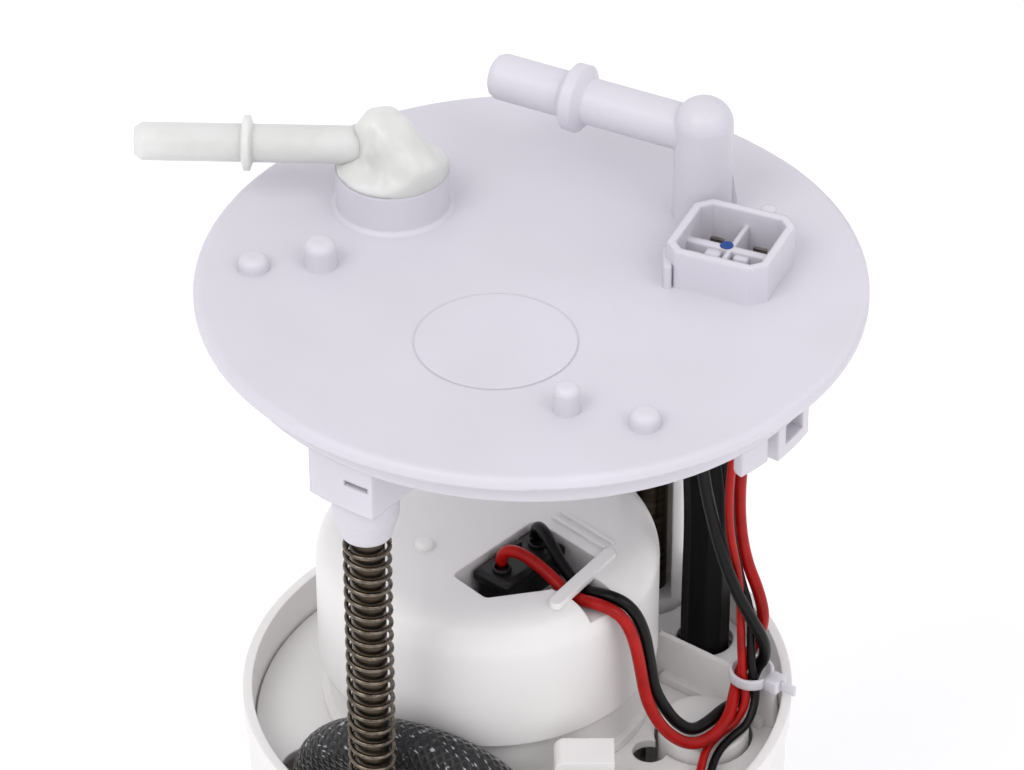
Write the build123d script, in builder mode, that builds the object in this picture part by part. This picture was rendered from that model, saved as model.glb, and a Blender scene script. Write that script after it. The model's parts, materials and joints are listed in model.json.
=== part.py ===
from build123d import *
import math
import os

# Fuel pump module for a vehicle tank. Millimetres, +Z up.
# The origin is the centre of the flange's seat on the tank: the rim's underside is z = 0.
# The reservoir hangs from the flange on two guide rods, and is drawn fully extended.

# ---- flange ------------------------------------------------------------------------
RIM_RADIUS = 67.0
RIM_THICKNESS = 3.0
RIM_TOP_ROUND = 1.4
RIM_SEAT_ROUND = 0.8
REGISTER_RADIUS = 62.0
REGISTER_WALL = 2.2
REGISTER_DEPTH = 6.0
SPOT_CENTRE = (-7.0, -22.4)
SPOT_RADIUS = 16.0
SPOT_HEIGHT = 0.3
NUBS = [
    ((-55.1, 3.0), 3.1, 3.0),
    ((-41.8, 4.0), 3.25, 6.0),
    ((6.5, -44.9), 2.6, 6.0),
    ((21.3, -49.8), 3.0, 3.5),
]
LATCH_TURN = -33.3
LATCH_INNER = 52.0
LATCH_WIDTH = 11.4
LATCH_Z = -14.5
LATCH_POCKET = (6.4, 4.5)
LATCH_POCKET_DEPTH = 5.0
LATCH_POCKET_Z = -9.6
LOBE_CENTRE = (42.5, -43.0)
LOBE_RADIUS = 3.7
LOBE_Z = -12.5
PASSAGE_RADIUS = 2.2
BARB_RADIUS = 3.9
BARB_RIDGE = 0.35
BARB_LENGTH = 17.0
BARB_SHOULDER = 3.0
HOSE_CLEARANCE = 0.1

# Outlet side: a separate elbow sits in a round boss and seals in a socket under it.
OUTLET_CENTRE = (-27.8, 25.8)
BOSS_RADIUS = 11.6
BOSS_WALL = 1.3
BOSS_HEIGHT = 8.6
BOSS_FOOT = 0.9
SOCKET_BORE = 7.15
SOCKET_WALL = 2.0
SOCKET_DEPTH = 8.0
SOCKET_FLOOR = 2.0
SPIGOT_CLEARANCE = 0.1
DISC_CLEARANCE = 0.1
SEAL_SECTION = 1.0
SEAL_GROOVE_DEPTH = 1.9
SEAL_GROOVE_WIDTH = 2.1
SEAL_Z = -3.2
ELBOW_BARREL_OFFSET = -1.7
ELBOW_BARREL_RADIUS = 5.2
ELBOW_BARREL_TOP_RADIUS = 4.9
ELBOW_DOME_Z = 19.0
ELBOW_LOBE_OFFSET = (3.9, -4.95)
ELBOW_LOBE_RADIUS = 3.8
ELBOW_LOBE_Z = 16.0
DOME_FLAT = 0.4
OUTLET_AXIS_Z = 17.0
OUTLET_DIRECTION = (-math.cos(math.radians(2.3)), math.sin(math.radians(2.3)), 0.0)
OUTLET_RADIUS = 3.9
OUTLET_BORE = 2.4
OUTLET_LENGTH = 50.0
OUTLET_BEAD_AT = 27.4
OUTLET_BEAD_RADIUS = 5.65
OUTLET_BEAD_WIDTH = 2.4

# Return side: a post moulded on the flange with its own nipple.
RETURN_CENTRE = (34.5, 22.0)
POST_RADIUS = 6.0
POST_DOME_Z = 24.0
RETURN_AXIS_Z = 22.2
RETURN_TURN = math.radians(152.2)
RETURN_DIRECTION = (math.cos(RETURN_TURN), math.sin(RETURN_TURN), 0.0)
RETURN_RADIUS = 4.8
RETURN_BORE = 3.2
RETURN_LENGTH = 47.0
RETURN_BEAD_AT = 28.1
RETURN_BEAD_RADIUS = 7.0
RETURN_BEAD_WIDTH = 5.4
RETURN_BEAD_FLAT = 2.4
GUSSET_REACH = 7.5
GUSSET_HEIGHT = 11.0
GUSSET_WALL = 1.8

# Connector shroud: its long side is turned clockwise from +X.
SHROUD_CENTRE = (39.5, 2.0)
SHROUD_TURN = math.radians(-23.6)
SHROUD_LENGTH = 21.5
SHROUD_WIDTH = 20.5
SHROUD_WALL = 1.7
SHROUD_CHAMFER = 2.8
SHROUD_HEIGHT = 8.5
KEY_RIB = (1.6, 7.5)
KEY_RIB_CENTRE = (26.8, -0.8)
KEY_RIB_HEIGHT = 5.0
KEY_NUB_CENTRE = (47.4, 13.0)
KEY_NUB_RADIUS = 1.6
KEY_NUB_HEIGHT = 7.0
CAVITY_FLOOR_Z = -1.0
PARTITION_TOP_Z = 8.0
PARTITION_WALL = 1.8
PARTITION_RIB = 1.0
TERMINAL_BLOCK = (16.0, 15.0)
TERMINAL_BLOCK_Z = -12.0
TERMINAL_PITCH = (9.2, 8.6)
TERMINAL_SIZE = (2.8, 0.8)
TERMINAL_TOP_Z = 6.5
TERMINAL_END_Z = -14.0

# ---- guide rods --------------------------------------------------------------------
FRONT_ROD = (-32.3, -42.0)
REAR_ROD = (25.9, 38.0)
ROD_RADIUS = 3.5
ROD_TOP_Z = -4.0
ROD_END_Z = -132.0
ROD_SEAT_CLEARANCE = 0.02
ROD_GUIDE_CLEARANCE = 0.06
FRONT_BLOCK_WIDTH = 15.6
FRONT_BLOCK_INNER = 44.0
FRONT_BLOCK_OUTER = 61.0
FRONT_BLOCK_Z = -17.5
FRONT_SLIT = (5.5, 1.2)
FRONT_SLIT_OFFSET = 4.0
FRONT_SLIT_Z = -11.0
FRONT_SLIT_DEPTH = 8.0
COLLAR_Z = -23.0
COLLAR_END_Z = -28.5
REAR_SOCKET_RADIUS = 8.6
REAR_SOCKET_Z = -12.0
REAR_COLLAR_Z = -22.0
CLIP_THICKNESS = 1.0
CLIP_RADIUS = ROD_RADIUS + 0.65
CLIP_GROOVE_RADIUS = ROD_RADIUS - 0.6
CLIP_GAP = 0.3
SPRING_WIRE = 1.0
SPRING_OUTER = ROD_RADIUS + 0.4 + SPRING_WIRE
COLLAR_END_RADIUS = SPRING_OUTER + 0.1
COLLAR_RADIUS = COLLAR_END_RADIUS + 1.6
REAR_COLLAR_RADIUS = ROD_RADIUS + 2.9

# ---- reservoir tub -----------------------------------------------------------------
TUB_CENTRE = (-3.0, -2.0)
TUB_RIM_RADIUS = 57.5
TUB_FOOT_RADIUS = 55.5
TUB_WALL = 2.0
TUB_FLOOR = 2.5
RIM_BAND = 0.8
RIM_BAND_DEPTH = 5.0
TUB_TOP_Z = -98.0
TUB_BOTTOM_Z = -196.0
FOOT_HEIGHT = 2.5
FOOT_RADIUS = 5.0
FOOT_CIRCLE = 46.0
GUIDE_END_Z = -129.4
GUIDE_BOSS_RADIUS = SPRING_OUTER + 1.9
TOWER_CHANNEL_RADIUS = SPRING_OUTER + 0.5
TOWER_RADIUS = TOWER_CHANNEL_RADIUS + 1.9
TOWER_TOP_Z = -66.0
TOWER_CHANNEL_Z = -104.0
COVER_TOP_Z = -107.0
COVER_THICKNESS = 2.0
COVER_CLEARANCE = 0.4
LEDGE_WIDTH = 2.4
LEDGE_HEIGHT = 2.0
OPENING_MARGIN = 0.8
RIM_NOTCH_TURN = math.radians(-51.5)
RIM_NOTCH_WIDTH = 9.0
RIM_NOTCH_DEPTH = 6.5

# ---- filter and pump, all on one axis ----------------------------------------------
PUMP_CENTRE = (-9.1, 7.0)
CAP_RADIUS = 35.8
CAP_WALL = 2.0
CAP_TOP_Z = -64.0
CAP_END_Z = -94.5
CAP_SHOULDER = 8.0
CAP_CLEARANCE = 0.2
POCKET_FLOOR_Z = -80.0
POCKET_WALL = 1.6
CASE_WALL = 1.8
CASE_TOP_Z = -86.0
CASE_BOTTOM_Z = -168.0
CASE_COLLAR_INSET = 0.6
CASE_COLLAR_RADIUS = CAP_RADIUS - CASE_COLLAR_INSET
CASE_COLLAR_HEIGHT = 2.0
CASE_FLOOR_HOLE = 15.0
ELEMENT_CASE_GAP = 4.8
ELEMENT_OUTER = CAP_RADIUS - ELEMENT_CASE_GAP
ELEMENT_TOP_Z = -96.0
HOUSING_RADIUS = 19.0
ELEMENT_PUMP_GAP = 2.8
ELEMENT_INNER = HOUSING_RADIUS + ELEMENT_PUMP_GAP
HOUSING_WALL = 1.2
HOUSING_TOP_Z = -92.0
HOUSING_BOTTOM_Z = -160.0
SHAFT_RADIUS = 1.5
BEARING_CLEARANCE = 0.04
ARMATURE_RADIUS = 13.2
MAGNET_INNER = 14.0
IMPELLER_RADIUS = 13.0
IMPELLER_Z = (-154.0, -151.0)
IMPELLER_SLOTS = 18
MAGNET_Z = (-148.0, -108.0)
MAGNET_GAP = 9.0
SHAFT_Z = (-158.0, -90.0)
CORE_Z = (-144.0, -112.0)
COMMUTATOR_Z = (-110.0, -102.0)
COMMUTATOR_RADIUS = 7.3
BRUSH_TOWER_OFFSET = (6.0, -7.0)
SPOUT_OFFSET = 8.0
END_COVER = 5.0
SPOUT_RADIUS = 5.5
SPOUT_END_Z = -184.0
STRAINER_SIZE = (44.0, 26.0, 6.0)
STRAINER_TOP_Z = -186.0
PLUG_CENTRE = (-2.5, -3.2)
PLUG_TURN = 49.0
PLUG_SIZE = (18.2, 8.6)
PLUG_TOP_Z = -65.0
PLUG_BOTTOM_Z = -73.0
PEDESTAL_SIZE = (14.0, 6.0)
POCKET_CORNERS = [(0.7, 7.7), (14.4, -6.1), (3.6, -15.5), (-9.4, -18.2), (-16.3, -10.6)]
POCKET_ROUND = 1.5
CHANNEL_FLOOR_Z = -68.4
CHANNEL_CENTRE = (14.0, -17.3)
CHANNEL_TURN = -35.3
CHANNEL_LENGTH = 22.0
CHANNEL_WIDTH = 8.2
HOOK_CENTRE = (10.4, -12.2)
HOOK_TURN = 55.0
HOOK_LENGTH = 22.0
HOOK_WIDTH = 2.8
HOOK_Z = (-64.6, -63.0)
CAP_NUB = (-22.0, -0.9)
CAP_NUB_RADIUS = 2.0
CAP_NUB_HEIGHT = 1.5
LEDGE_LINES = (3.2, 5.6)
LEDGE_LINE_SIZE = (15.0, 1.0)
LEDGE_LINE_HEIGHT = 0.6

# ---- regulator, jet pump, sender ---------------------------------------------------
REGULATOR_CENTRE = (35.9, -10.0)
HOLDER_RADIUS = 9.5
HOLDER_WALL = 1.3
HOLDER_TOP_Z = -104.0
HOLDER_END_Z = -131.0
HOLDER_PLATE_TOP_Z = -96.0
PLATE_TURN = math.radians(-37.8)
PLATE_LENGTH = 30.0
PLATE_SHIFT = 4.5
HOLDER_BUMP = (2.4, 1.2)
HOLDER_BUMP_OFFSET = (-4.4, -3.6)
JET_CENTRE = (37.2, 22.0)
JET_RISER_RADIUS = 4.5
JET_BARB_TOP_Z = -113.0
SIGHT_HOLE = (24.5, -15.5)
SIGHT_RADIUS = 2.8
LUG_CENTRE = (12.0, -33.0)
LUG_SIZE = (9.5, 8.0)
LUG_TOP_Z = -92.0
LUG_KNOB = 2.4
WOVEN_LEFT = (-45.6, -20.0)
WOVEN_LEFT_Z = -126.0
WOVEN_BARB_LENGTH = 10.0
WOVEN_RIGHT = (-1.0, -38.6)
WOVEN_SLOT = (18.6, 14.8)
WOVEN_HOLE = (-44.8, -20.8)
WOVEN_HOLE_RADIUS = 6.6
WOVEN_SLOT_TURN = -18.0
INLET_TURN = math.radians(-110.4)
INLET_Z = -124.0
JET_BASE_Z = -133.0
JET_FOOT = (19.0, 12.0, 12.0)
JET_FOOT_OFFSET = -5.7
VALVE_CENTRE = (18.0, -30.0)
VALVE_RADIUS = 9.0
VALVE_STEM = 1.9
VALVE_PORTS = 5
SENDER_CENTRE_X = -1.0
SENDER_WIDTH = 26.0
SENDER_Z = (-165.0, -131.0)
SENDER_PAD_Y = -60.0
SENDER_DEPTH = 6.5
PAD_MARGIN = 2.0
CARD_SIZE = (20.0, 10.0)
CARD_Z = -155.0
CARD_RECESS = 0.8
CARD_THICKNESS = 0.6
PLUG_BLOCK = (9.0, 4.6, 7.0)
PIVOT_X = 3.0
PIVOT_Z = -142.0
PIVOT_RADIUS = 1.6
PIVOT_CLEARANCE = 0.05
HUB_RADIUS = 6.0
HUB_THICKNESS = 3.6
HUB_GAP = 0.3
ARM_WIRE = 1.1
ARM_REACH = (-60.6, -35.0)
ARM_BEND = 4.0
FLOAT_RADIUS = 10.0
FLOAT_LENGTH = 18.0
FLOAT_STANDOFF = 5.2

# ---- hoses and leads ---------------------------------------------------------------
RETURN_HOSE_RADIUS = 5.35
WOVEN_HOSE_RADIUS = 5.7
PUMP_LEAD_RADIUS = 1.3
SENDER_LEAD_RADIUS = 0.9
ARC_SHARE = 0.45
TIE_CENTRE = (45.8, -5.9)
TIE_Z = -95.0
TIE_WIDTH = 2.4
TIE_RADIUS = 4.75
TIE_THICKNESS = 0.8
TIE_HEAD = (3.2, 4.4)
TIE_TAIL = 9.0
TIE_TURN = -36.0

UP = (0, 0, 1)
DOWN = (0, 0, -1)

os.makedirs("parts", exist_ok=True)


def at(centre, z=0.0):
    """A point in space from a plan position and a height."""
    return (centre[0], centre[1], z)


def turned(profile, origin=(0, 0, 0), direction=(0, 0, 1), mode=Mode.ADD):
    """Revolve a closed (radius, height) outline about the line through origin along direction."""
    along = Vector(*direction).normalized()
    helper = Vector(0, 1, 0) if abs(along.Y) < 0.9 else Vector(1, 0, 0)
    across = along.cross(helper).normalized()
    with BuildSketch(Plane(origin=origin, x_dir=across, z_dir=across.cross(along))) as half:
        with BuildLine():
            Polyline(*profile, close=True)
        make_face()
    revolve(half.sketch, axis=Axis(origin, tuple(along)), mode=mode)


def rod(radius, centre, low_z, high_z, mode=Mode.ADD, bore=0.0):
    """A vertical round bar or tube, or the hole for one."""
    with BuildSketch(Plane.XY.offset(low_z)) as section:
        with Locations(centre):
            Circle(radius)
            if bore:
                Circle(bore, mode=Mode.SUBTRACT)
    extrude(section.sketch, amount=high_z - low_z, mode=mode)


def domed(radius, centre, low_z, top_z):
    """A vertical round post with a rounded top."""
    with BuildSketch(Plane(origin=at(centre), x_dir=(1, 0, 0), z_dir=(0, -1, 0))) as half:
        with BuildLine():
            Polyline((0, low_z), (radius, low_z), (radius, top_z), (0, top_z), close=True)
        make_face()
        fillet(half.vertices().sort_by(lambda corner: corner.X + corner.Y)[-1], radius - DOME_FLAT)
    revolve(half.sketch, axis=Axis(at(centre), UP))


def bar(size, centre, low_z, high_z, turn=0.0, mode=Mode.ADD):
    """A vertical bar of rectangular section, turned about its own axis."""
    with BuildSketch(Plane.XY.offset(low_z)) as section:
        with Locations(centre):
            Rectangle(*size, rotation=turn)
    extrude(section.sketch, amount=high_z - low_z, mode=mode)


def barb(radius, origin, direction, length):
    """A solid hose nipple that stands on origin, with three shallow ridges."""
    step = length / 4
    outline = [(0, 0), (radius - BARB_RIDGE, 0)]
    for ridge in (1, 2, 3):
        foot = step * ridge
        outline += [(radius - BARB_RIDGE, foot), (radius, foot), (radius - BARB_RIDGE, foot + step * 0.6)]
    outline += [(radius - BARB_RIDGE - 0.3, length), (0, length)]
    turned(outline, origin, direction)


def drilled(radius, origin, direction, depth):
    """A round hole from origin along direction."""
    turned([(0, 0), (radius, 0), (radius, depth), (0, depth)], origin, direction, mode=Mode.SUBTRACT)


def block(low, high, mode=Mode.ADD):
    """A box between two corners."""
    size = [b - a for a, b in zip(low, high)]
    middle = [(a + b) / 2 for a, b in zip(low, high)]
    with Locations(tuple(middle)):
        Box(*size, mode=mode)


def cord(points, radius, bore=0.0, corner=0.0):
    """A round cord along straight runs joined by tangent arcs, each as large as its runs allow."""
    runs = [Vector(*b) - Vector(*a) for a, b in zip(points, points[1:])]
    radii = []
    for before, after in zip(runs, runs[1:]):
        half_turn = math.radians(before.get_angle(after)) / 2
        largest = ARC_SHARE * min(before.length, after.length) / math.tan(half_turn)
        radii.append(corner or largest)
    with BuildLine() as route:
        FilletPolyline(*points, radius=radii)
    with BuildSketch(Plane(origin=points[0], z_dir=runs[0])) as section:
        Circle(radius)
        if bore:
            Circle(bore, mode=Mode.SUBTRACT)
    solid = sweep(section.sketch, path=route.line)
    section = math.pi * (radius**2 - bore**2)
    length = sum(edge.length for edge in route.edges())
    print("cord radii", [round(r) for r in radii], "volume ratio", round(solid.volume / section / length, 4))


SHROUD_PLANE = Plane(
    origin=at(SHROUD_CENTRE), x_dir=(math.cos(SHROUD_TURN), math.sin(SHROUD_TURN), 0), z_dir=(0, 0, 1)
)
FRONT_TURN = math.atan2(FRONT_ROD[1], FRONT_ROD[0])
FRONT_PLANE = Plane(origin=(0, 0, 0), x_dir=(math.cos(FRONT_TURN), math.sin(FRONT_TURN), 0), z_dir=(0, 0, 1))
LATCH_PLANE = Plane(
    origin=(0, 0, 0),
    x_dir=(math.cos(math.radians(LATCH_TURN)), math.sin(math.radians(LATCH_TURN)), 0),
    z_dir=(0, 0, 1),
)
ROD_SEAT_RADIUS = ROD_RADIUS + ROD_SEAT_CLEARANCE
ROD_GUIDE_RADIUS = ROD_RADIUS + ROD_GUIDE_CLEARANCE
TERMINAL_SPOTS = [
    SHROUD_PLANE.from_local_coords(Vector(side * TERMINAL_PITCH[0] / 2, end * TERMINAL_PITCH[1] / 2, 0))
    for side in (-1, 1)
    for end in (-1, 1)
]


def shroud_prism(low_z, high_z, shrink=0.0, mode=Mode.ADD):
    """A prism of the connector shroud's outline, shrunk by a wall if asked."""
    with BuildSketch(SHROUD_PLANE.offset(low_z)) as outline:
        Rectangle(SHROUD_LENGTH - 2 * shrink, SHROUD_WIDTH - 2 * shrink)
        chamfer(outline.vertices(), SHROUD_CHAMFER - shrink * 0.6)
    extrude(outline.sketch, amount=high_z - low_z, mode=mode)


# ---- flange: rim, register, ports, connector shroud and rod sockets, one moulding ----
with BuildPart() as flange:
    rod(RIM_RADIUS, (0, 0), 0, RIM_THICKNESS)
    fillet(flange.edges().filter_by(GeomType.CIRCLE).sort_by(Axis.Z)[-1], RIM_TOP_ROUND)
    fillet(flange.edges().filter_by(GeomType.CIRCLE).sort_by(Axis.Z)[0], RIM_SEAT_ROUND)
    rod(REGISTER_RADIUS, (0, 0), -REGISTER_DEPTH, 0, bore=REGISTER_RADIUS - REGISTER_WALL)
    rod(SPOT_RADIUS, SPOT_CENTRE, RIM_THICKNESS, RIM_THICKNESS + SPOT_HEIGHT)
    for centre, radius, height in NUBS:
        rod(radius, centre, RIM_THICKNESS, RIM_THICKNESS + height)
        fillet(flange.edges(Select.LAST).group_by(Axis.Z)[-1], radius * 0.6)

    # Latch block with its pocket, and the lobe beside it, at the right of the register.
    with BuildSketch():
        with Locations(LATCH_PLANE.location * Location(((LATCH_INNER + REGISTER_RADIUS + 4) / 2, 0, 0))):
            Rectangle(REGISTER_RADIUS + 4 - LATCH_INNER, LATCH_WIDTH)
        Circle(FRONT_BLOCK_OUTER, mode=Mode.INTERSECT)
    extrude(amount=LATCH_Z)
    with BuildSketch():
        with Locations(LOBE_CENTRE):
            Circle(LOBE_RADIUS)
        Circle(FRONT_BLOCK_OUTER, mode=Mode.INTERSECT)
    extrude(amount=LOBE_Z)
    with BuildSketch(LATCH_PLANE.offset(LATCH_POCKET_Z - LATCH_POCKET[1] / 2)):
        with Locations((REGISTER_RADIUS - LATCH_POCKET_DEPTH / 2, 0)):
            Rectangle(LATCH_POCKET_DEPTH, LATCH_POCKET[0])
    extrude(amount=LATCH_POCKET[1], mode=Mode.SUBTRACT)

    # Boss and socket for the outlet elbow, with the feed barb below.
    boss_inner = BOSS_RADIUS - BOSS_WALL
    turned(
        [
            (boss_inner, RIM_THICKNESS),
            (BOSS_RADIUS + BOSS_FOOT, RIM_THICKNESS),
            (BOSS_RADIUS, RIM_THICKNESS + BOSS_FOOT),
            (BOSS_RADIUS, RIM_THICKNESS + BOSS_HEIGHT),
            (boss_inner, RIM_THICKNESS + BOSS_HEIGHT),
        ],
        at(OUTLET_CENTRE),
    )
    socket_end = -SOCKET_DEPTH - SOCKET_FLOOR
    rod(SOCKET_BORE + SOCKET_WALL, OUTLET_CENTRE, socket_end, 0)
    rod(SOCKET_BORE, OUTLET_CENTRE, -SOCKET_DEPTH, RIM_THICKNESS, mode=Mode.SUBTRACT)
    barb(BARB_RADIUS, at(OUTLET_CENTRE, socket_end), DOWN, BARB_LENGTH - SOCKET_FLOOR)
    rod(PASSAGE_RADIUS, OUTLET_CENTRE, socket_end - BARB_LENGTH, 0, mode=Mode.SUBTRACT)

    # Return post with its nipple, gusset and the return barb below.
    domed(POST_RADIUS, RETURN_CENTRE, RIM_THICKNESS, POST_DOME_Z + POST_RADIUS)
    bead_foot = RETURN_BEAD_WIDTH / 2
    bead_flat = RETURN_BEAD_FLAT / 2
    turned(
        [
            (0, 0),
            (RETURN_RADIUS, 0),
            (RETURN_RADIUS, RETURN_BEAD_AT - bead_foot),
            (RETURN_BEAD_RADIUS, RETURN_BEAD_AT - bead_flat),
            (RETURN_BEAD_RADIUS, RETURN_BEAD_AT + bead_flat),
            (RETURN_RADIUS, RETURN_BEAD_AT + bead_foot),
            (RETURN_RADIUS, RETURN_LENGTH - 1.6),
            (RETURN_RADIUS - 0.5, RETURN_LENGTH - 0.5),
            (RETURN_RADIUS - 1.2, RETURN_LENGTH),
            (0, RETURN_LENGTH),
        ],
        at(RETURN_CENTRE, RETURN_AXIS_Z),
        RETURN_DIRECTION,
    )
    with BuildSketch(Plane.XZ.offset(-RETURN_CENTRE[1])):
        with BuildLine():
            Polyline(
                (RETURN_CENTRE[0], RIM_THICKNESS),
                (RETURN_CENTRE[0] + GUSSET_REACH, RIM_THICKNESS),
                (RETURN_CENTRE[0] + POST_RADIUS - 0.2, RIM_THICKNESS + GUSSET_HEIGHT),
                (RETURN_CENTRE[0], RIM_THICKNESS + GUSSET_HEIGHT),
                close=True,
            )
        make_face()
    extrude(amount=GUSSET_WALL / 2, both=True)
    rod(POST_RADIUS, RETURN_CENTRE, -BARB_SHOULDER, 0)
    barb(BARB_RADIUS, at(RETURN_CENTRE, -BARB_SHOULDER), DOWN, BARB_LENGTH)
    rod(PASSAGE_RADIUS, RETURN_CENTRE, -BARB_SHOULDER - BARB_LENGTH, RETURN_AXIS_Z, mode=Mode.SUBTRACT)
    drilled(RETURN_BORE, at(RETURN_CENTRE, RETURN_AXIS_Z), RETURN_DIRECTION, RETURN_LENGTH + 1)

    # Connector shroud, its cavity, the partition cross and the terminal block below.
    shroud_prism(RIM_THICKNESS, RIM_THICKNESS + SHROUD_HEIGHT)
    bar(KEY_RIB, KEY_RIB_CENTRE, RIM_THICKNESS, RIM_THICKNESS + KEY_RIB_HEIGHT)
    rod(KEY_NUB_RADIUS, KEY_NUB_CENTRE, RIM_THICKNESS, RIM_THICKNESS + KEY_NUB_HEIGHT)
    bar(TERMINAL_BLOCK, SHROUD_CENTRE, TERMINAL_BLOCK_Z, 0, turn=math.degrees(SHROUD_TURN))
    shroud_prism(CAVITY_FLOOR_Z, RIM_THICKNESS + SHROUD_HEIGHT, SHROUD_WALL, mode=Mode.SUBTRACT)
    with BuildSketch(SHROUD_PLANE.offset(CAVITY_FLOOR_Z)):
        Rectangle(SHROUD_LENGTH - SHROUD_WALL, PARTITION_WALL)
        Rectangle(PARTITION_RIB, SHROUD_WIDTH - SHROUD_WALL)
    extrude(amount=PARTITION_TOP_Z - CAVITY_FLOOR_Z)
    for spot in TERMINAL_SPOTS:
        bar(
            TERMINAL_SIZE,
            (spot.X, spot.Y),
            TERMINAL_BLOCK_Z,
            CAVITY_FLOOR_Z,
            turn=math.degrees(SHROUD_TURN),
            mode=Mode.SUBTRACT,
        )

    # Front rod socket: a block out to the register, then a collar that the spring seats on.
    with BuildSketch():
        block_middle = (FRONT_BLOCK_INNER + REGISTER_RADIUS + 4) / 2
        with Locations(FRONT_PLANE.location * Location((block_middle, 0, 0))):
            Rectangle(REGISTER_RADIUS + 4 - FRONT_BLOCK_INNER, FRONT_BLOCK_WIDTH)
        Circle(FRONT_BLOCK_OUTER, mode=Mode.INTERSECT)
    extrude(amount=FRONT_BLOCK_Z)
    turned(
        [
            (0, FRONT_BLOCK_Z),
            (COLLAR_RADIUS, FRONT_BLOCK_Z),
            (COLLAR_RADIUS, COLLAR_Z),
            (COLLAR_END_RADIUS, COLLAR_END_Z),
            (0, COLLAR_END_Z),
        ],
        at(FRONT_ROD),
    )
    rod(ROD_SEAT_RADIUS, FRONT_ROD, COLLAR_END_Z, ROD_TOP_Z, mode=Mode.SUBTRACT)
    with BuildSketch(FRONT_PLANE.offset(FRONT_SLIT_Z - FRONT_SLIT[1] / 2)):
        with Locations((REGISTER_RADIUS - FRONT_SLIT_DEPTH / 2, FRONT_SLIT_OFFSET)):
            Rectangle(FRONT_SLIT_DEPTH, FRONT_SLIT[0])
    extrude(amount=FRONT_SLIT[1], mode=Mode.SUBTRACT)

    # Rear rod socket.
    rod(REAR_SOCKET_RADIUS, REAR_ROD, REAR_SOCKET_Z, 0)
    rod(REAR_COLLAR_RADIUS, REAR_ROD, REAR_COLLAR_Z, REAR_SOCKET_Z)
    rod(ROD_SEAT_RADIUS, REAR_ROD, REAR_COLLAR_Z, ROD_TOP_Z, mode=Mode.SUBTRACT)
flange.part.label = "flange"
export_step(flange.part, "parts/flange.step")

# ---- outlet elbow: seal spigot, disc, barrel with a dome, side lobe and nipple ----
spigot_radius = SOCKET_BORE - SPIGOT_CLEARANCE
groove_radius = spigot_radius - SEAL_GROOVE_DEPTH
groove_top = SEAL_Z + SEAL_GROOVE_WIDTH / 2
groove_bottom = SEAL_Z - SEAL_GROOVE_WIDTH / 2
disc_radius = BOSS_RADIUS - BOSS_WALL - DISC_CLEARANCE
disc_top = RIM_THICKNESS + BOSS_HEIGHT
barrel_centre = (OUTLET_CENTRE[0] + ELBOW_BARREL_OFFSET, OUTLET_CENTRE[1])
with BuildPart() as outlet_elbow:
    turned(
        [
            (0, -SOCKET_DEPTH + 0.5),
            (spigot_radius - 0.7, -SOCKET_DEPTH + 0.5),
            (spigot_radius, -SOCKET_DEPTH + 1.3),
            (spigot_radius, groove_bottom),
            (groove_radius, groove_bottom),
            (groove_radius, groove_top),
            (spigot_radius, groove_top),
            (spigot_radius, RIM_THICKNESS),
            (disc_radius, RIM_THICKNESS),
            (disc_radius, disc_top - 0.7),
            (disc_radius - 0.8, disc_top),
            (0, disc_top + 0.5),
        ],
        at(OUTLET_CENTRE),
    )
    turned(
        [
            (0, disc_top - 1),
            (ELBOW_BARREL_RADIUS, disc_top - 1),
            (ELBOW_BARREL_TOP_RADIUS, ELBOW_DOME_Z),
            (0, ELBOW_DOME_Z),
        ],
        at(barrel_centre),
    )
    domed(ELBOW_BARREL_TOP_RADIUS, barrel_centre, ELBOW_DOME_Z, ELBOW_DOME_Z + ELBOW_BARREL_TOP_RADIUS)
    lobe_centre = (OUTLET_CENTRE[0] + ELBOW_LOBE_OFFSET[0], OUTLET_CENTRE[1] + ELBOW_LOBE_OFFSET[1])
    domed(ELBOW_LOBE_RADIUS, lobe_centre, disc_top - 1, ELBOW_LOBE_Z + ELBOW_LOBE_RADIUS)
    turned(
        [
            (0, 0),
            (OUTLET_RADIUS, 0),
            (OUTLET_RADIUS, OUTLET_BEAD_AT - OUTLET_BEAD_WIDTH / 2),
            (OUTLET_BEAD_RADIUS, OUTLET_BEAD_AT - OUTLET_BEAD_WIDTH / 2 + 0.6),
            (OUTLET_BEAD_RADIUS, OUTLET_BEAD_AT + OUTLET_BEAD_WIDTH / 2 - 0.6),
            (OUTLET_RADIUS, OUTLET_BEAD_AT + OUTLET_BEAD_WIDTH / 2),
            (OUTLET_RADIUS, OUTLET_LENGTH - 1.5),
            (OUTLET_RADIUS - 0.9, OUTLET_LENGTH),
            (0, OUTLET_LENGTH),
        ],
        at(barrel_centre, OUTLET_AXIS_Z),
        OUTLET_DIRECTION,
    )
    drilled(OUTLET_BORE, at(barrel_centre, OUTLET_AXIS_Z), OUTLET_DIRECTION, OUTLET_LENGTH + 1)
    rod(PASSAGE_RADIUS, OUTLET_CENTRE, -SOCKET_DEPTH, OUTLET_AXIS_Z, mode=Mode.SUBTRACT)
outlet_elbow.part.label = "outlet_elbow"
export_step(outlet_elbow.part, "parts/outlet_elbow.step")

with BuildPart() as elbow_seal:
    with Locations(at(OUTLET_CENTRE, SEAL_Z)):
        Torus(groove_radius + SEAL_SECTION, SEAL_SECTION - 0.02)
elbow_seal.part.label = "elbow_seal"
export_step(elbow_seal.part, "parts/elbow_seal.step")

# ---- connector terminals: four blades through the terminal block ----
with BuildPart() as connector_terminals:
    for spot in TERMINAL_SPOTS:
        bar(TERMINAL_SIZE, (spot.X, spot.Y), TERMINAL_END_Z, TERMINAL_TOP_Z, turn=math.degrees(SHROUD_TURN))
connector_terminals.part.label = "connector_terminals"
export_step(connector_terminals.part, "parts/connector_terminals.step")

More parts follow.
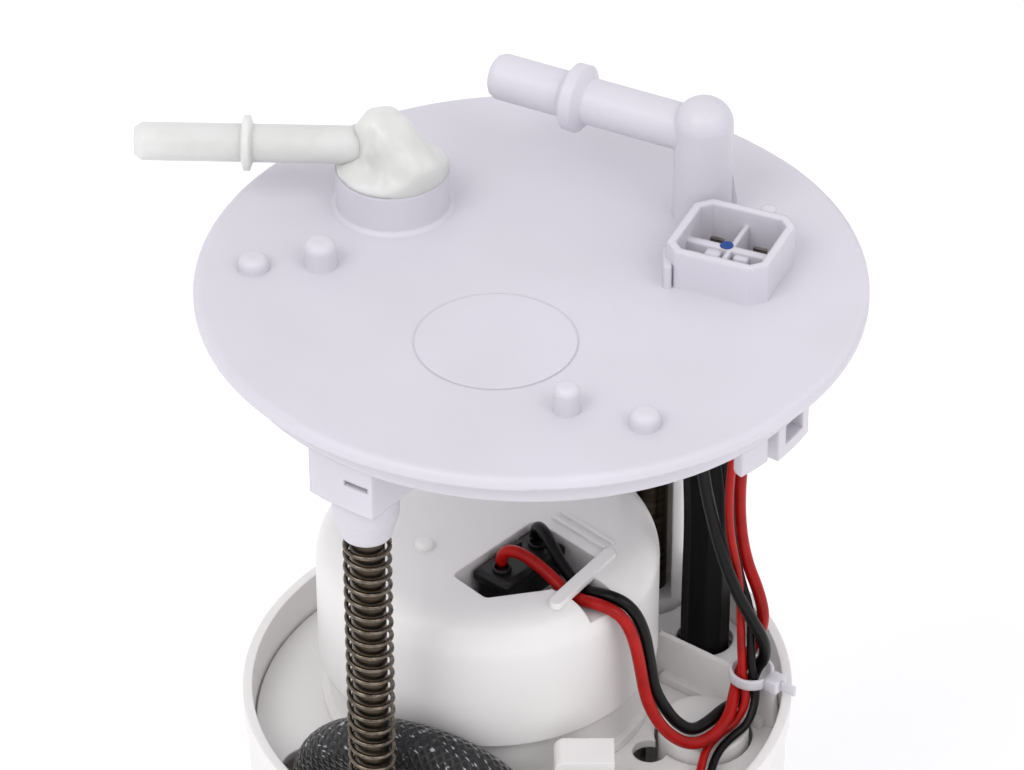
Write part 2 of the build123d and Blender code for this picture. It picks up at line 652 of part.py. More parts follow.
# ---- guide rods with their retaining clips ----
clip_top = GUIDE_END_Z - CLIP_GAP
clip_bottom = clip_top - CLIP_THICKNESS
for side, centre in (("front", FRONT_ROD), ("rear", REAR_ROD)):
    with BuildPart() as guide_rod:
        turned(
            [
                (0, ROD_END_Z),
                (ROD_RADIUS - 0.6, ROD_END_Z),
                (ROD_RADIUS, ROD_END_Z + 0.6),
                (ROD_RADIUS, clip_bottom - 0.05),
                (CLIP_GROOVE_RADIUS, clip_bottom - 0.05),
                (CLIP_GROOVE_RADIUS, clip_top + 0.05),
                (ROD_RADIUS, clip_top + 0.05),
                (ROD_RADIUS, ROD_TOP_Z),
                (0, ROD_TOP_Z),
            ],
            at(centre),
        )
    guide_rod.part.label = "guide_rod_" + side
    export_step(guide_rod.part, "parts/guide_rod_" + side + ".step")
    with BuildPart() as rod_clip:
        rod(CLIP_RADIUS, centre, clip_bottom, clip_top, bore=CLIP_GROOVE_RADIUS + 0.05)
        mouth = (2.6, CLIP_RADIUS + 1)
        mouth_centre = (centre[0], centre[1] - mouth[1] / 2)
        bar(mouth, mouth_centre, clip_bottom, clip_top, mode=Mode.SUBTRACT)
    rod_clip.part.label = "rod_clip_" + side
    export_step(rod_clip.part, "parts/rod_clip_" + side + ".step")

# ---- coil spring on the front rod, as the tube that its turns fill ----
with BuildPart() as spring_front:
    rod(SPRING_OUTER, FRONT_ROD, COVER_TOP_Z, COLLAR_END_Z, bore=SPRING_OUTER - SPRING_WIRE)
spring_front.part.label = "spring_front"
export_step(spring_front.part, "parts/spring_front.step")

# ---- reservoir tub: tapered wall, floor, feet, guide boss, rear tower, sender pad ----
TUB_DEPTH = TUB_TOP_Z - TUB_BOTTOM_Z
tub_inner_rim = TUB_RIM_RADIUS - TUB_WALL
tub_inner_foot = TUB_FOOT_RADIUS - TUB_WALL
ledge_top = COVER_TOP_Z - COVER_THICKNESS
ledge_fraction = (TUB_TOP_Z - ledge_top) / TUB_DEPTH
cover_radius = tub_inner_rim - (tub_inner_rim - tub_inner_foot) * ledge_fraction - COVER_CLEARANCE
with BuildPart() as reservoir_tub:
    turned(
        [
            (0, TUB_BOTTOM_Z),
            (TUB_FOOT_RADIUS - 1.5, TUB_BOTTOM_Z),
            (TUB_FOOT_RADIUS, TUB_BOTTOM_Z + 1.5),
            (TUB_RIM_RADIUS - RIM_BAND, TUB_TOP_Z - RIM_BAND_DEPTH - RIM_BAND),
            (TUB_RIM_RADIUS, TUB_TOP_Z - RIM_BAND_DEPTH),
            (TUB_RIM_RADIUS, TUB_TOP_Z),
            (0, TUB_TOP_Z),
        ],
        at(TUB_CENTRE),
    )
    # Pad for the level sender on the front wall.
    block(
        (SENDER_CENTRE_X - SENDER_WIDTH / 2 - PAD_MARGIN, SENDER_PAD_Y, SENDER_Z[0] - PAD_MARGIN),
        (SENDER_CENTRE_X + SENDER_WIDTH / 2 + PAD_MARGIN, TUB_CENTRE[1], SENDER_Z[1] + PAD_MARGIN),
    )
    turned(
        [
            (0, TUB_BOTTOM_Z + TUB_FLOOR),
            (tub_inner_foot, TUB_BOTTOM_Z + TUB_FLOOR),
            (tub_inner_rim, TUB_TOP_Z),
            (0, TUB_TOP_Z),
        ],
        at(TUB_CENTRE),
        mode=Mode.SUBTRACT,
    )
    # Ledge that carries the cover.
    turned(
        [
            (cover_radius + COVER_CLEARANCE + TUB_WALL / 2, ledge_top),
            (cover_radius - LEDGE_WIDTH, ledge_top),
            (cover_radius - LEDGE_WIDTH, ledge_top - LEDGE_HEIGHT / 2),
            (cover_radius + COVER_CLEARANCE + TUB_WALL / 2, ledge_top - LEDGE_HEIGHT - LEDGE_WIDTH / 2),
        ],
        at(TUB_CENTRE),
    )
    with BuildSketch(Plane.XY.offset(TUB_BOTTOM_Z - FOOT_HEIGHT)):
        with Locations(TUB_CENTRE):
            with PolarLocations(FOOT_CIRCLE, 4, start_angle=45):
                Circle(FOOT_RADIUS)
    extrude(amount=FOOT_HEIGHT)

    # Ports of the foot valve.
    rod(VALVE_STEM + 0.1, VALVE_CENTRE, TUB_BOTTOM_Z, TUB_BOTTOM_Z + TUB_FLOOR, mode=Mode.SUBTRACT)
    with BuildSketch(Plane.XY.offset(TUB_BOTTOM_Z)):
        with Locations(VALVE_CENTRE):
            with PolarLocations(VALVE_RADIUS * 0.6, VALVE_PORTS):
                Circle(VALVE_STEM)
    extrude(amount=TUB_FLOOR, mode=Mode.SUBTRACT)

    # Guide boss for the front rod: the spring presses on its top.
    rod(GUIDE_BOSS_RADIUS, FRONT_ROD, GUIDE_END_Z, COVER_TOP_Z)
    rod(ROD_GUIDE_RADIUS, FRONT_ROD, GUIDE_END_Z, COVER_TOP_Z, mode=Mode.SUBTRACT)

    # Rear tower: a guide bore below and a channel, open to the front, above.
    rod(TOWER_RADIUS, REAR_ROD, GUIDE_END_Z, TOWER_TOP_Z)
    rod(ROD_GUIDE_RADIUS, REAR_ROD, GUIDE_END_Z, TOWER_CHANNEL_Z, mode=Mode.SUBTRACT)
    rod(TOWER_CHANNEL_RADIUS, REAR_ROD, TOWER_CHANNEL_Z, TOWER_TOP_Z, mode=Mode.SUBTRACT)
    bar(
        (2 * ROD_RADIUS + 1.6, TOWER_RADIUS + 1),
        (REAR_ROD[0], REAR_ROD[1] - TOWER_RADIUS / 2 - 0.5),
        TOWER_CHANNEL_Z,
        TOWER_TOP_Z,
        mode=Mode.SUBTRACT,
    )

    # Notch in the rim for the sender leads.
    notch_radius = TUB_RIM_RADIUS - TUB_WALL / 2
    bar(
        (4 * TUB_WALL, RIM_NOTCH_WIDTH),
        (
            TUB_CENTRE[0] + notch_radius * math.cos(RIM_NOTCH_TURN),
            TUB_CENTRE[1] + notch_radius * math.sin(RIM_NOTCH_TURN),
        ),
        TUB_TOP_Z - RIM_NOTCH_DEPTH,
        TUB_TOP_Z,
        turn=math.degrees(RIM_NOTCH_TURN),
        mode=Mode.SUBTRACT,
    )
reservoir_tub.part.label = "reservoir_tub"
export_step(reservoir_tub.part, "parts/reservoir_tub.step")

# ---- reservoir cover: a plate with an opening for everything that passes through ----
cover_bottom = COVER_TOP_Z - COVER_THICKNESS
case_radius = CAP_RADIUS - CAP_WALL - CAP_CLEARANCE
cut_outs = [
    (PUMP_CENTRE, case_radius),
    (FRONT_ROD, GUIDE_BOSS_RADIUS),
    (REAR_ROD, TOWER_RADIUS),
    (JET_CENTRE, RETURN_HOSE_RADIUS),
    (REGULATOR_CENTRE, HOLDER_RADIUS),
    (WOVEN_HOLE, WOVEN_HOLE_RADIUS),
    (SIGHT_HOLE, SIGHT_RADIUS),
]
with BuildPart() as reservoir_cover:
    rod(cover_radius, TUB_CENTRE, cover_bottom, COVER_TOP_Z)
    for centre, radius in cut_outs:
        rod(radius + OPENING_MARGIN, centre, cover_bottom, COVER_TOP_Z, mode=Mode.SUBTRACT)
    with BuildSketch(Plane.XY.offset(cover_bottom)):
        with Locations(WOVEN_RIGHT):
            SlotOverall(*WOVEN_SLOT, rotation=WOVEN_SLOT_TURN)
    extrude(amount=COVER_THICKNESS, mode=Mode.SUBTRACT)

    # Snap lug with a round knob.
    bar(LUG_SIZE, LUG_CENTRE, COVER_TOP_Z, LUG_TOP_Z)
    lug_hollow = (LUG_SIZE[0] - 3, LUG_SIZE[1] - 3)
    bar(lug_hollow, LUG_CENTRE, COVER_TOP_Z, LUG_TOP_Z - 1.5, mode=Mode.SUBTRACT)
    with BuildSketch(Plane.XZ.offset(-LUG_CENTRE[1])) as knob:
        with Locations((LUG_CENTRE[0] - LUG_SIZE[0] / 2 - 0.5, LUG_TOP_Z - LUG_KNOB)):
            Circle(LUG_KNOB)
    extrude(knob.sketch, amount=LUG_SIZE[1] / 2, both=True)
reservoir_cover.part.label = "reservoir_cover"
export_step(reservoir_cover.part, "parts/reservoir_cover.step")

# ---- filter cap: a shouldered lid with a pocket for the pump plug and a lead hook ----
with BuildPart() as cap_hollow:
    rod(CAP_RADIUS - CAP_WALL, PUMP_CENTRE, CAP_END_Z, CAP_TOP_Z - CAP_WALL)
    fillet(cap_hollow.edges().group_by(Axis.Z)[-1], CAP_SHOULDER - CAP_WALL)
    with BuildSketch(Plane.XY.offset(POCKET_FLOOR_Z - CAP_WALL)):
        with BuildLine():
            Polyline(*POCKET_CORNERS, close=True)
        make_face()
        offset(amount=POCKET_WALL, kind=Kind.ARC)
    extrude(amount=CAP_TOP_Z - POCKET_FLOOR_Z + CAP_WALL, mode=Mode.SUBTRACT)
    bar(
        (CHANNEL_LENGTH, CHANNEL_WIDTH + 2 * POCKET_WALL),
        CHANNEL_CENTRE,
        CHANNEL_FLOOR_Z - CAP_WALL,
        CAP_TOP_Z,
        turn=CHANNEL_TURN,
        mode=Mode.SUBTRACT,
    )

with BuildPart() as filter_cap:
    rod(CAP_RADIUS, PUMP_CENTRE, CAP_END_Z, CAP_TOP_Z)
    fillet(filter_cap.edges().group_by(Axis.Z)[-1], CAP_SHOULDER)
    add(cap_hollow.part, mode=Mode.SUBTRACT)
    with BuildSketch(Plane.XY.offset(POCKET_FLOOR_Z)) as pocket:
        with BuildLine():
            Polyline(*POCKET_CORNERS, close=True)
        make_face()
        fillet(pocket.vertices(), POCKET_ROUND)
    extrude(amount=CAP_TOP_Z - POCKET_FLOOR_Z, mode=Mode.SUBTRACT)
    bar(
        (CHANNEL_LENGTH, CHANNEL_WIDTH),
        CHANNEL_CENTRE,
        CHANNEL_FLOOR_Z,
        CAP_TOP_Z,
        turn=CHANNEL_TURN,
        mode=Mode.SUBTRACT,
    )
    bar(PEDESTAL_SIZE, PLUG_CENTRE, POCKET_FLOOR_Z, PLUG_BOTTOM_Z, turn=PLUG_TURN)
    with BuildSketch(Plane.XY.offset(HOOK_Z[0])):
        with Locations(HOOK_CENTRE):
            SlotOverall(HOOK_LENGTH, HOOK_WIDTH, rotation=HOOK_TURN)
    extrude(amount=HOOK_Z[1] - HOOK_Z[0])
    pocket_edge = Vector(*POCKET_CORNERS[1]) - Vector(*POCKET_CORNERS[0])
    edge_middle = (Vector(*POCKET_CORNERS[0]) + Vector(*POCKET_CORNERS[1])) / 2
    edge_outward = Vector(-pocket_edge.Y, pocket_edge.X).normalized()
    edge_turn = math.degrees(math.atan2(pocket_edge.Y, pocket_edge.X))
    for distance in LEDGE_LINES:
        line_centre = edge_middle + edge_outward * distance
        line_top = CAP_TOP_Z + LEDGE_LINE_HEIGHT
        bar(LEDGE_LINE_SIZE, (line_centre.X, line_centre.Y), CAP_TOP_Z - 1, line_top, turn=edge_turn)
    rod(CAP_NUB_RADIUS, CAP_NUB, CAP_TOP_Z, CAP_TOP_Z + CAP_NUB_HEIGHT)
    fillet(filter_cap.edges(Select.LAST).group_by(Axis.Z)[-1], CAP_NUB_HEIGHT * 0.7)
filter_cap.part.label = "filter_cap"
export_step(filter_cap.part, "parts/filter_cap.step")

# ---- filter case with its side outlet, and the filter element inside ----
left_arm = Vector(*WOVEN_LEFT) - Vector(*PUMP_CENTRE)
left_direction = tuple(left_arm.normalized())
case_floor_top = CASE_BOTTOM_Z + CASE_WALL
arm_z = WOVEN_LEFT_Z - BARB_RADIUS - 1
with BuildPart() as filter_case:
    turned(
        [
            (CASE_FLOOR_HOLE, CASE_BOTTOM_Z),
            (case_radius, CASE_BOTTOM_Z),
            (case_radius, COVER_TOP_Z),
            (CASE_COLLAR_RADIUS, COVER_TOP_Z),
            (CASE_COLLAR_RADIUS, COVER_TOP_Z + CASE_COLLAR_HEIGHT),
            (case_radius, COVER_TOP_Z + CASE_COLLAR_HEIGHT),
            (case_radius, CASE_TOP_Z),
            (case_radius - CASE_WALL, CASE_TOP_Z),
            (case_radius - CASE_WALL, case_floor_top),
            (CASE_FLOOR_HOLE, case_floor_top),
        ],
        at(PUMP_CENTRE),
    )
    arm_start = case_radius - CASE_WALL / 2
    turned(
        [(0, arm_start), (BARB_RADIUS, arm_start), (BARB_RADIUS, left_arm.length), (0, left_arm.length)],
        at(PUMP_CENTRE, arm_z),
        left_direction,
    )
    rod(BARB_RADIUS + 1, WOVEN_LEFT, arm_z - BARB_RADIUS - 0.5, WOVEN_LEFT_Z - 0.3)
    barb(BARB_RADIUS, at(WOVEN_LEFT, WOVEN_LEFT_Z - 0.3), UP, WOVEN_BARB_LENGTH)
    rod(PASSAGE_RADIUS, WOVEN_LEFT, arm_z, WOVEN_LEFT_Z + WOVEN_BARB_LENGTH, mode=Mode.SUBTRACT)
    bore_start = Vector(*at(PUMP_CENTRE, arm_z)) + left_arm.normalized() * (case_radius - 2 * CASE_WALL)
    drilled(PASSAGE_RADIUS, tuple(bore_start), left_direction, left_arm.length - case_radius + 2 * CASE_WALL)
filter_case.part.label = "filter_case"
export_step(filter_case.part, "parts/filter_case.step")

with BuildPart() as filter_element:
    rod(ELEMENT_OUTER, PUMP_CENTRE, case_floor_top, ELEMENT_TOP_Z, bore=ELEMENT_INNER)
filter_element.part.label = "filter_element"
export_step(filter_element.part, "parts/filter_element.step")

# ---- electric pump: housing, magnets, armature, impeller, end covers, isolator ----
bearing_radius = SHAFT_RADIUS + BEARING_CLEARANCE
cover_fit = HOUSING_RADIUS - HOUSING_WALL - 0.05
inlet_centre = (PUMP_CENTRE[0] + SPOUT_OFFSET, PUMP_CENTRE[1])
tower_centre = (PUMP_CENTRE[0] + BRUSH_TOWER_OFFSET[0], PUMP_CENTRE[1] + BRUSH_TOWER_OFFSET[1])
with BuildPart() as pump_housing:
    rod(HOUSING_RADIUS, PUMP_CENTRE, HOUSING_BOTTOM_Z, HOUSING_TOP_Z, bore=HOUSING_RADIUS - HOUSING_WALL)
pump_housing.part.label = "pump_housing"
export_step(pump_housing.part, "parts/pump_housing.step")

with BuildPart() as pump_magnets:
    rod(cover_fit, PUMP_CENTRE, *MAGNET_Z, bore=MAGNET_INNER)
    bar((2 * HOUSING_RADIUS, MAGNET_GAP), PUMP_CENTRE, *MAGNET_Z, mode=Mode.SUBTRACT)
pump_magnets.part.label = "pump_magnets"
export_step(pump_magnets.part, "parts/pump_magnets.step")

with BuildPart() as pump_armature:
    rod(SHAFT_RADIUS, PUMP_CENTRE, *SHAFT_Z)
    rod(ARMATURE_RADIUS, PUMP_CENTRE, *CORE_Z)
    rod(COMMUTATOR_RADIUS, PUMP_CENTRE, *COMMUTATOR_Z)
    rod(SHAFT_RADIUS * 2, PUMP_CENTRE, CORE_Z[1], COMMUTATOR_Z[0])
pump_armature.part.label = "pump_armature"
export_step(pump_armature.part, "parts/pump_armature.step")

with BuildPart() as pump_impeller:
    rod(IMPELLER_RADIUS, PUMP_CENTRE, *IMPELLER_Z, bore=SHAFT_RADIUS)
    with BuildSketch(Plane.XY.offset(IMPELLER_Z[0])):
        with Locations(PUMP_CENTRE):
            with PolarLocations(IMPELLER_RADIUS, IMPELLER_SLOTS):
                Rectangle(4, 2)
    extrude(amount=IMPELLER_Z[1] - IMPELLER_Z[0], mode=Mode.SUBTRACT)
pump_impeller.part.label = "pump_impeller"
export_step(pump_impeller.part, "parts/pump_impeller.step")

with BuildPart() as pump_inlet_cover:
    rod(cover_fit, PUMP_CENTRE, HOUSING_BOTTOM_Z, HOUSING_BOTTOM_Z + END_COVER)
    bearing_top = HOUSING_BOTTOM_Z + END_COVER
    rod(bearing_radius, PUMP_CENTRE, HOUSING_BOTTOM_Z + 1.5, bearing_top, mode=Mode.SUBTRACT)
    rod(SPOUT_RADIUS, inlet_centre, SPOUT_END_Z, HOUSING_BOTTOM_Z)
    rod(SPOUT_RADIUS - 1.5, inlet_centre, SPOUT_END_Z, HOUSING_BOTTOM_Z + END_COVER, mode=Mode.SUBTRACT)
pump_inlet_cover.part.label = "pump_inlet_cover"
export_step(pump_inlet_cover.part, "parts/pump_inlet_cover.step")

with BuildPart() as pump_outlet_cap:
    rod(cover_fit, PUMP_CENTRE, HOUSING_TOP_Z - 6, HOUSING_TOP_Z)
    rod(HOUSING_RADIUS - 0.5, PUMP_CENTRE, HOUSING_TOP_Z, HOUSING_TOP_Z + 4)
    rod(bearing_radius, PUMP_CENTRE, HOUSING_TOP_Z - 6, HOUSING_TOP_Z + 2.5, mode=Mode.SUBTRACT)
    rod(4.5, tower_centre, HOUSING_TOP_Z + 4, POCKET_FLOOR_Z - CAP_WALL)
pump_outlet_cap.part.label = "pump_outlet_cap"
export_step(pump_outlet_cap.part, "parts/pump_outlet_cap.step")

with BuildPart() as pump_isolator:
    turned(
        [
            (CASE_FLOOR_HOLE, case_floor_top),
            (HOUSING_RADIUS + 2, case_floor_top),
            (HOUSING_RADIUS + 2, HOUSING_BOTTOM_Z + 8),
            (HOUSING_RADIUS + 0.1, HOUSING_BOTTOM_Z + 8),
            (HOUSING_RADIUS + 0.1, HOUSING_BOTTOM_Z),
            (CASE_FLOOR_HOLE, HOUSING_BOTTOM_Z),
        ],
        at(PUMP_CENTRE),
    )
pump_isolator.part.label = "pump_isolator"
export_step(pump_isolator.part, "parts/pump_isolator.step")

with BuildPart() as strainer:
    with Locations(at(inlet_centre, STRAINER_TOP_Z - STRAINER_SIZE[2] / 2)):
        Box(*STRAINER_SIZE)
    fillet(strainer.edges().filter_by(Axis.Z), STRAINER_SIZE[2])
    fillet(strainer.edges().group_by(Axis.Z)[-1], 1.5)
    rod(SPOUT_RADIUS + 1.6, inlet_centre, STRAINER_TOP_Z - 1, SPOUT_END_Z + 6)
    rod(SPOUT_RADIUS + 0.1, inlet_centre, SPOUT_END_Z, SPOUT_END_Z + 6, mode=Mode.SUBTRACT)
strainer.part.label = "strainer"
export_step(strainer.part, "parts/strainer.step")

# ---- plug on the pump, in the cap's pocket ----
with BuildPart() as pump_plug:
    with BuildSketch(Plane.XY.offset(PLUG_BOTTOM_Z)):
        with Locations(PLUG_CENTRE):
            RectangleRounded(*PLUG_SIZE, 1.6, rotation=PLUG_TURN)
    extrude(amount=PLUG_TOP_Z - PLUG_BOTTOM_Z)
    fillet(pump_plug.edges().group_by(Axis.Z)[-1], 0.8)
pump_plug.part.label = "pump_plug"
export_step(pump_plug.part, "parts/pump_plug.step")

# ---- regulator holder with its guard plate, the regulator and its seal ----
inlet_direction = (math.cos(INLET_TURN), math.sin(INLET_TURN), 0.0)
plate_normal = (-math.sin(PLATE_TURN), math.cos(PLATE_TURN))
plate_offset = HOLDER_RADIUS + 1.25
plate_along = (math.cos(PLATE_TURN), math.sin(PLATE_TURN))
plate_centre = tuple(
    c + plate_offset * n - PLATE_SHIFT * a for c, n, a in zip(REGULATOR_CENTRE, plate_normal, plate_along)
)
with BuildPart() as regulator_holder:
    rod(HOLDER_RADIUS, REGULATOR_CENTRE, HOLDER_END_Z, HOLDER_TOP_Z)
    fillet(regulator_holder.edges().group_by(Axis.Z)[-1], 0.8)
    bump_centre = tuple(c + o for c, o in zip(REGULATOR_CENTRE, HOLDER_BUMP_OFFSET))
    rod(HOLDER_BUMP[0], bump_centre, HOLDER_TOP_Z, HOLDER_TOP_Z + HOLDER_BUMP[1])
    fillet(regulator_holder.edges(Select.LAST).group_by(Axis.Z)[-1], HOLDER_BUMP[1] * 0.8)
    rod(
        HOLDER_RADIUS - HOLDER_WALL,
        REGULATOR_CENTRE,
        HOLDER_END_Z + HOLDER_WALL,
        HOLDER_TOP_Z - HOLDER_WALL,
        mode=Mode.SUBTRACT,
    )
    bar(
        (PLATE_LENGTH, HOLDER_WALL),
        plate_centre,
        COVER_TOP_Z,
        HOLDER_PLATE_TOP_Z,
        turn=math.degrees(PLATE_TURN),
    )
    foot_centre = tuple(c - 1.0 * n for c, n in zip(plate_centre, plate_normal))
    bar((PLATE_LENGTH - 4, 3.0), foot_centre, COVER_TOP_Z, COVER_TOP_Z + 2, turn=math.degrees(PLATE_TURN))
    nipple_base = Vector(*at(REGULATOR_CENTRE, INLET_Z)) + Vector(*inlet_direction) * (HOLDER_RADIUS - 0.6)
    barb(BARB_RADIUS, tuple(nipple_base), inlet_direction, WOVEN_BARB_LENGTH + 0.6)
    bore_base = nipple_base - Vector(*inlet_direction) * HOLDER_WALL
    drilled(PASSAGE_RADIUS, tuple(bore_base), inlet_direction, WOVEN_BARB_LENGTH + 4)
regulator_holder.part.label = "regulator_holder"
export_step(regulator_holder.part, "parts/regulator_holder.step")

seal_z = HOLDER_TOP_Z - HOLDER_WALL - 12
with BuildPart() as pressure_regulator:
    turned(
        [
            (0, seal_z - 3),
            (4.0, seal_z - 3),
            (4.0, seal_z - 1),
            (5.8, seal_z - 1),
            (5.8, seal_z + 1),
            (7.9, seal_z + 1),
            (7.9, HOLDER_TOP_Z - HOLDER_WALL - 0.3),
            (0, HOLDER_TOP_Z - HOLDER_WALL - 0.3),
        ],
        at(REGULATOR_CENTRE),
    )
pressure_regulator.part.label = "pressure_regulator"
export_step(pressure_regulator.part, "parts/pressure_regulator.step")

with BuildPart() as regulator_seal:
    with Locations(at(REGULATOR_CENTRE, seal_z)):
        Torus(6.95, 0.98)
regulator_seal.part.label = "regulator_seal"
export_step(regulator_seal.part, "parts/regulator_seal.step")

# ---- jet pump: foot on the tub floor, mixing tube, riser with the return barb ----
tub_floor_top = TUB_BOTTOM_Z + TUB_FLOOR
with BuildPart() as jet_pump:
    jet_foot_centre = (JET_CENTRE[0] + JET_FOOT_OFFSET, JET_CENTRE[1])
    bar(JET_FOOT[:2], jet_foot_centre, tub_floor_top, tub_floor_top + JET_FOOT[2])
    fillet(jet_pump.edges().filter_by(Axis.Z), 3)
    rod(JET_RISER_RADIUS, JET_CENTRE, tub_floor_top + JET_FOOT[2], JET_BASE_Z)
    barb(BARB_RADIUS, at(JET_CENTRE, JET_BASE_Z), UP, JET_BARB_TOP_Z - JET_BASE_Z)
    rod(PASSAGE_RADIUS, JET_CENTRE, tub_floor_top + 4, JET_BARB_TOP_Z, mode=Mode.SUBTRACT)
jet_pump.part.label = "jet_pump"
export_step(jet_pump.part, "parts/jet_pump.step")

# ---- foot valve: a rubber umbrella over the ports in the floor ----
with BuildPart() as foot_valve:
    turned(
        [
            (0, TUB_BOTTOM_Z - 1.6),
            (1.2, TUB_BOTTOM_Z - 1.6),
            (VALVE_STEM + 0.7, TUB_BOTTOM_Z - 0.1),
            (VALVE_STEM, TUB_BOTTOM_Z - 0.1),
            (VALVE_STEM, tub_floor_top + 0.1),
            (VALVE_RADIUS, tub_floor_top + 0.1),
            (VALVE_RADIUS, tub_floor_top + 0.6),
            (VALVE_STEM, tub_floor_top + 2.0),
            (0, tub_floor_top + 2.0),
        ],
        at(VALVE_CENTRE),
    )
foot_valve.part.label = "foot_valve"
export_step(foot_valve.part, "parts/foot_valve.step")

# ---- level sender on the front of the tub, with its float arm ----
sender_front_y = SENDER_PAD_Y - SENDER_DEPTH
hub_back_y = sender_front_y - HUB_GAP
hub_front_y = hub_back_y - HUB_THICKNESS
arm_y = (hub_back_y + hub_front_y) / 2
with BuildPart() as sender_housing:
    block(
        (SENDER_CENTRE_X - SENDER_WIDTH / 2, sender_front_y, SENDER_Z[0]),
        (SENDER_CENTRE_X + SENDER_WIDTH / 2, SENDER_PAD_Y, SENDER_Z[1]),
    )
    fillet(sender_housing.edges().filter_by(Axis.Y), 3)
    block(
        (PIVOT_X - CARD_SIZE[0] / 2 - 1, sender_front_y, CARD_Z - CARD_SIZE[1] / 2 - 0.2),
        (PIVOT_X + CARD_SIZE[0] / 2 - 3, sender_front_y + CARD_RECESS, CARD_Z + CARD_SIZE[1] / 2 + 0.2),
        mode=Mode.SUBTRACT,
    )
    pin_root = (PIVOT_X, sender_front_y + 1, PIVOT_Z)
    head_start = sender_front_y + 1 - (hub_front_y - HUB_GAP)
    turned(
        [
            (0, 0),
            (PIVOT_RADIUS, 0),
            (PIVOT_RADIUS, head_start),
            (PIVOT_RADIUS + 1.2, head_start),
            (PIVOT_RADIUS + 0.6, head_start + 1.2),
            (0, head_start + 1.2),
        ],
        pin_root,
        (0, -1, 0),
    )
sender_housing.part.label = "sender_housing"
export_step(sender_housing.part, "parts/sender_housing.step")

card_back_y = sender_front_y + CARD_RECESS
with BuildPart() as resistor_card:
    block(
        (PIVOT_X - CARD_SIZE[0] / 2 - 0.8, card_back_y - CARD_THICKNESS, CARD_Z - CARD_SIZE[1] / 2),
        (PIVOT_X + CARD_SIZE[0] / 2 - 3.2, card_back_y, CARD_Z + CARD_SIZE[1] / 2),
    )
resistor_card.part.label = "resistor_card"
export_step(resistor_card.part, "parts/resistor_card.step")

plug_x = SENDER_CENTRE_X + 3
with BuildPart() as sender_plug:
    block(
        (plug_x - PLUG_BLOCK[0] / 2, SENDER_PAD_Y - 0.6 - PLUG_BLOCK[1], SENDER_Z[1]),
        (plug_x + PLUG_BLOCK[0] / 2, SENDER_PAD_Y - 0.6, SENDER_Z[1] + PLUG_BLOCK[2]),
    )
    fillet(sender_plug.edges().filter_by(Axis.Z), 0.8)
sender_plug.part.label = "sender_plug"
export_step(sender_plug.part, "parts/sender_plug.step")

with BuildPart() as float_arm_hub:
    turned(
        [
            (PIVOT_RADIUS + PIVOT_CLEARANCE, 0),
            (HUB_RADIUS, 0),
            (HUB_RADIUS, HUB_THICKNESS),
            (PIVOT_RADIUS + PIVOT_CLEARANCE, HUB_THICKNESS),
        ],
        (PIVOT_X, hub_back_y, PIVOT_Z),
        (0, -1, 0),
    )
    arm_along = Vector(ARM_REACH[0], 0, ARM_REACH[1]).normalized()
    arm_start = Vector(PIVOT_X, arm_y, PIVOT_Z) + arm_along * (PIVOT_RADIUS + 1.2)
    drilled(ARM_WIRE, tuple(arm_start), tuple(arm_along), HUB_RADIUS)
float_arm_hub.part.label = "float_arm_hub"
export_step(float_arm_hub.part, "parts/float_arm_hub.step")

float_x = PIVOT_X + ARM_REACH[0]
float_z = PIVOT_Z + ARM_REACH[1]
with BuildPart() as float_arm:
    cord(
        [
            tuple(arm_start),
            (float_x, arm_y, float_z),
            (float_x, arm_y + FLOAT_STANDOFF + FLOAT_LENGTH + 1, float_z),
        ],
        ARM_WIRE,
        corner=ARM_BEND,
    )
float_arm.part.label = "float_arm"
export_step(float_arm.part, "parts/float_arm.step")

with BuildPart() as float_body:
    turned(
        [
            (ARM_WIRE + 0.1, 0),
            (FLOAT_RADIUS, 0),
            (FLOAT_RADIUS, FLOAT_LENGTH),
            (ARM_WIRE + 0.1, FLOAT_LENGTH),
        ],
        (float_x, arm_y + FLOAT_STANDOFF, float_z),
        (0, 1, 0),
    )
    fillet(float_body.edges().filter_by(GeomType.CIRCLE).sort_by(SortBy.RADIUS)[-2:], 1.5)
float_body.part.label = "float_body"
export_step(float_body.part, "parts/float_body.step")

# ---- hoses: routes as lists of points, from one end to the other ----
RETURN_HOSE_ROUTE = [
    (34.5, 22.0, -3.3),
    (34.5, 22.0, -34.5),
    (37.7, 22.3, -66.0),
    (37.2, 22.0, -98.0),
    (37.2, 22.0, -132.7),
]
with BuildPart() as return_hose:
    cord(RETURN_HOSE_ROUTE, RETURN_HOSE_RADIUS, BARB_RADIUS + HOSE_CLEARANCE)
return_hose.part.label = "return_hose"
export_step(return_hose.part, "parts/return_hose.step")

WOVEN_HOSE_ROUTE = [
    (-45.6, -20.0, -126.0),
    (-45.4, -20.3, -107.0),
    (-38.5, -25.8, -95.4),
    (-27.0, -31.2, -92.0),
    (-14.0, -35.4, -94.2),
    (-4.5, -37.8, -101.8),
    (1.5, -39.8, -113.0),
    (10.0, -41.0, -122.5),
    (25.8, -37.1, -124.0),
    (32.38, -19.44, -124.0),
]
with BuildPart() as woven_hose:
    cord(WOVEN_HOSE_ROUTE, WOVEN_HOSE_RADIUS, BARB_RADIUS + HOSE_CLEARANCE)
woven_hose.part.label = "woven_hose"
export_step(woven_hose.part, "parts/woven_hose.step")

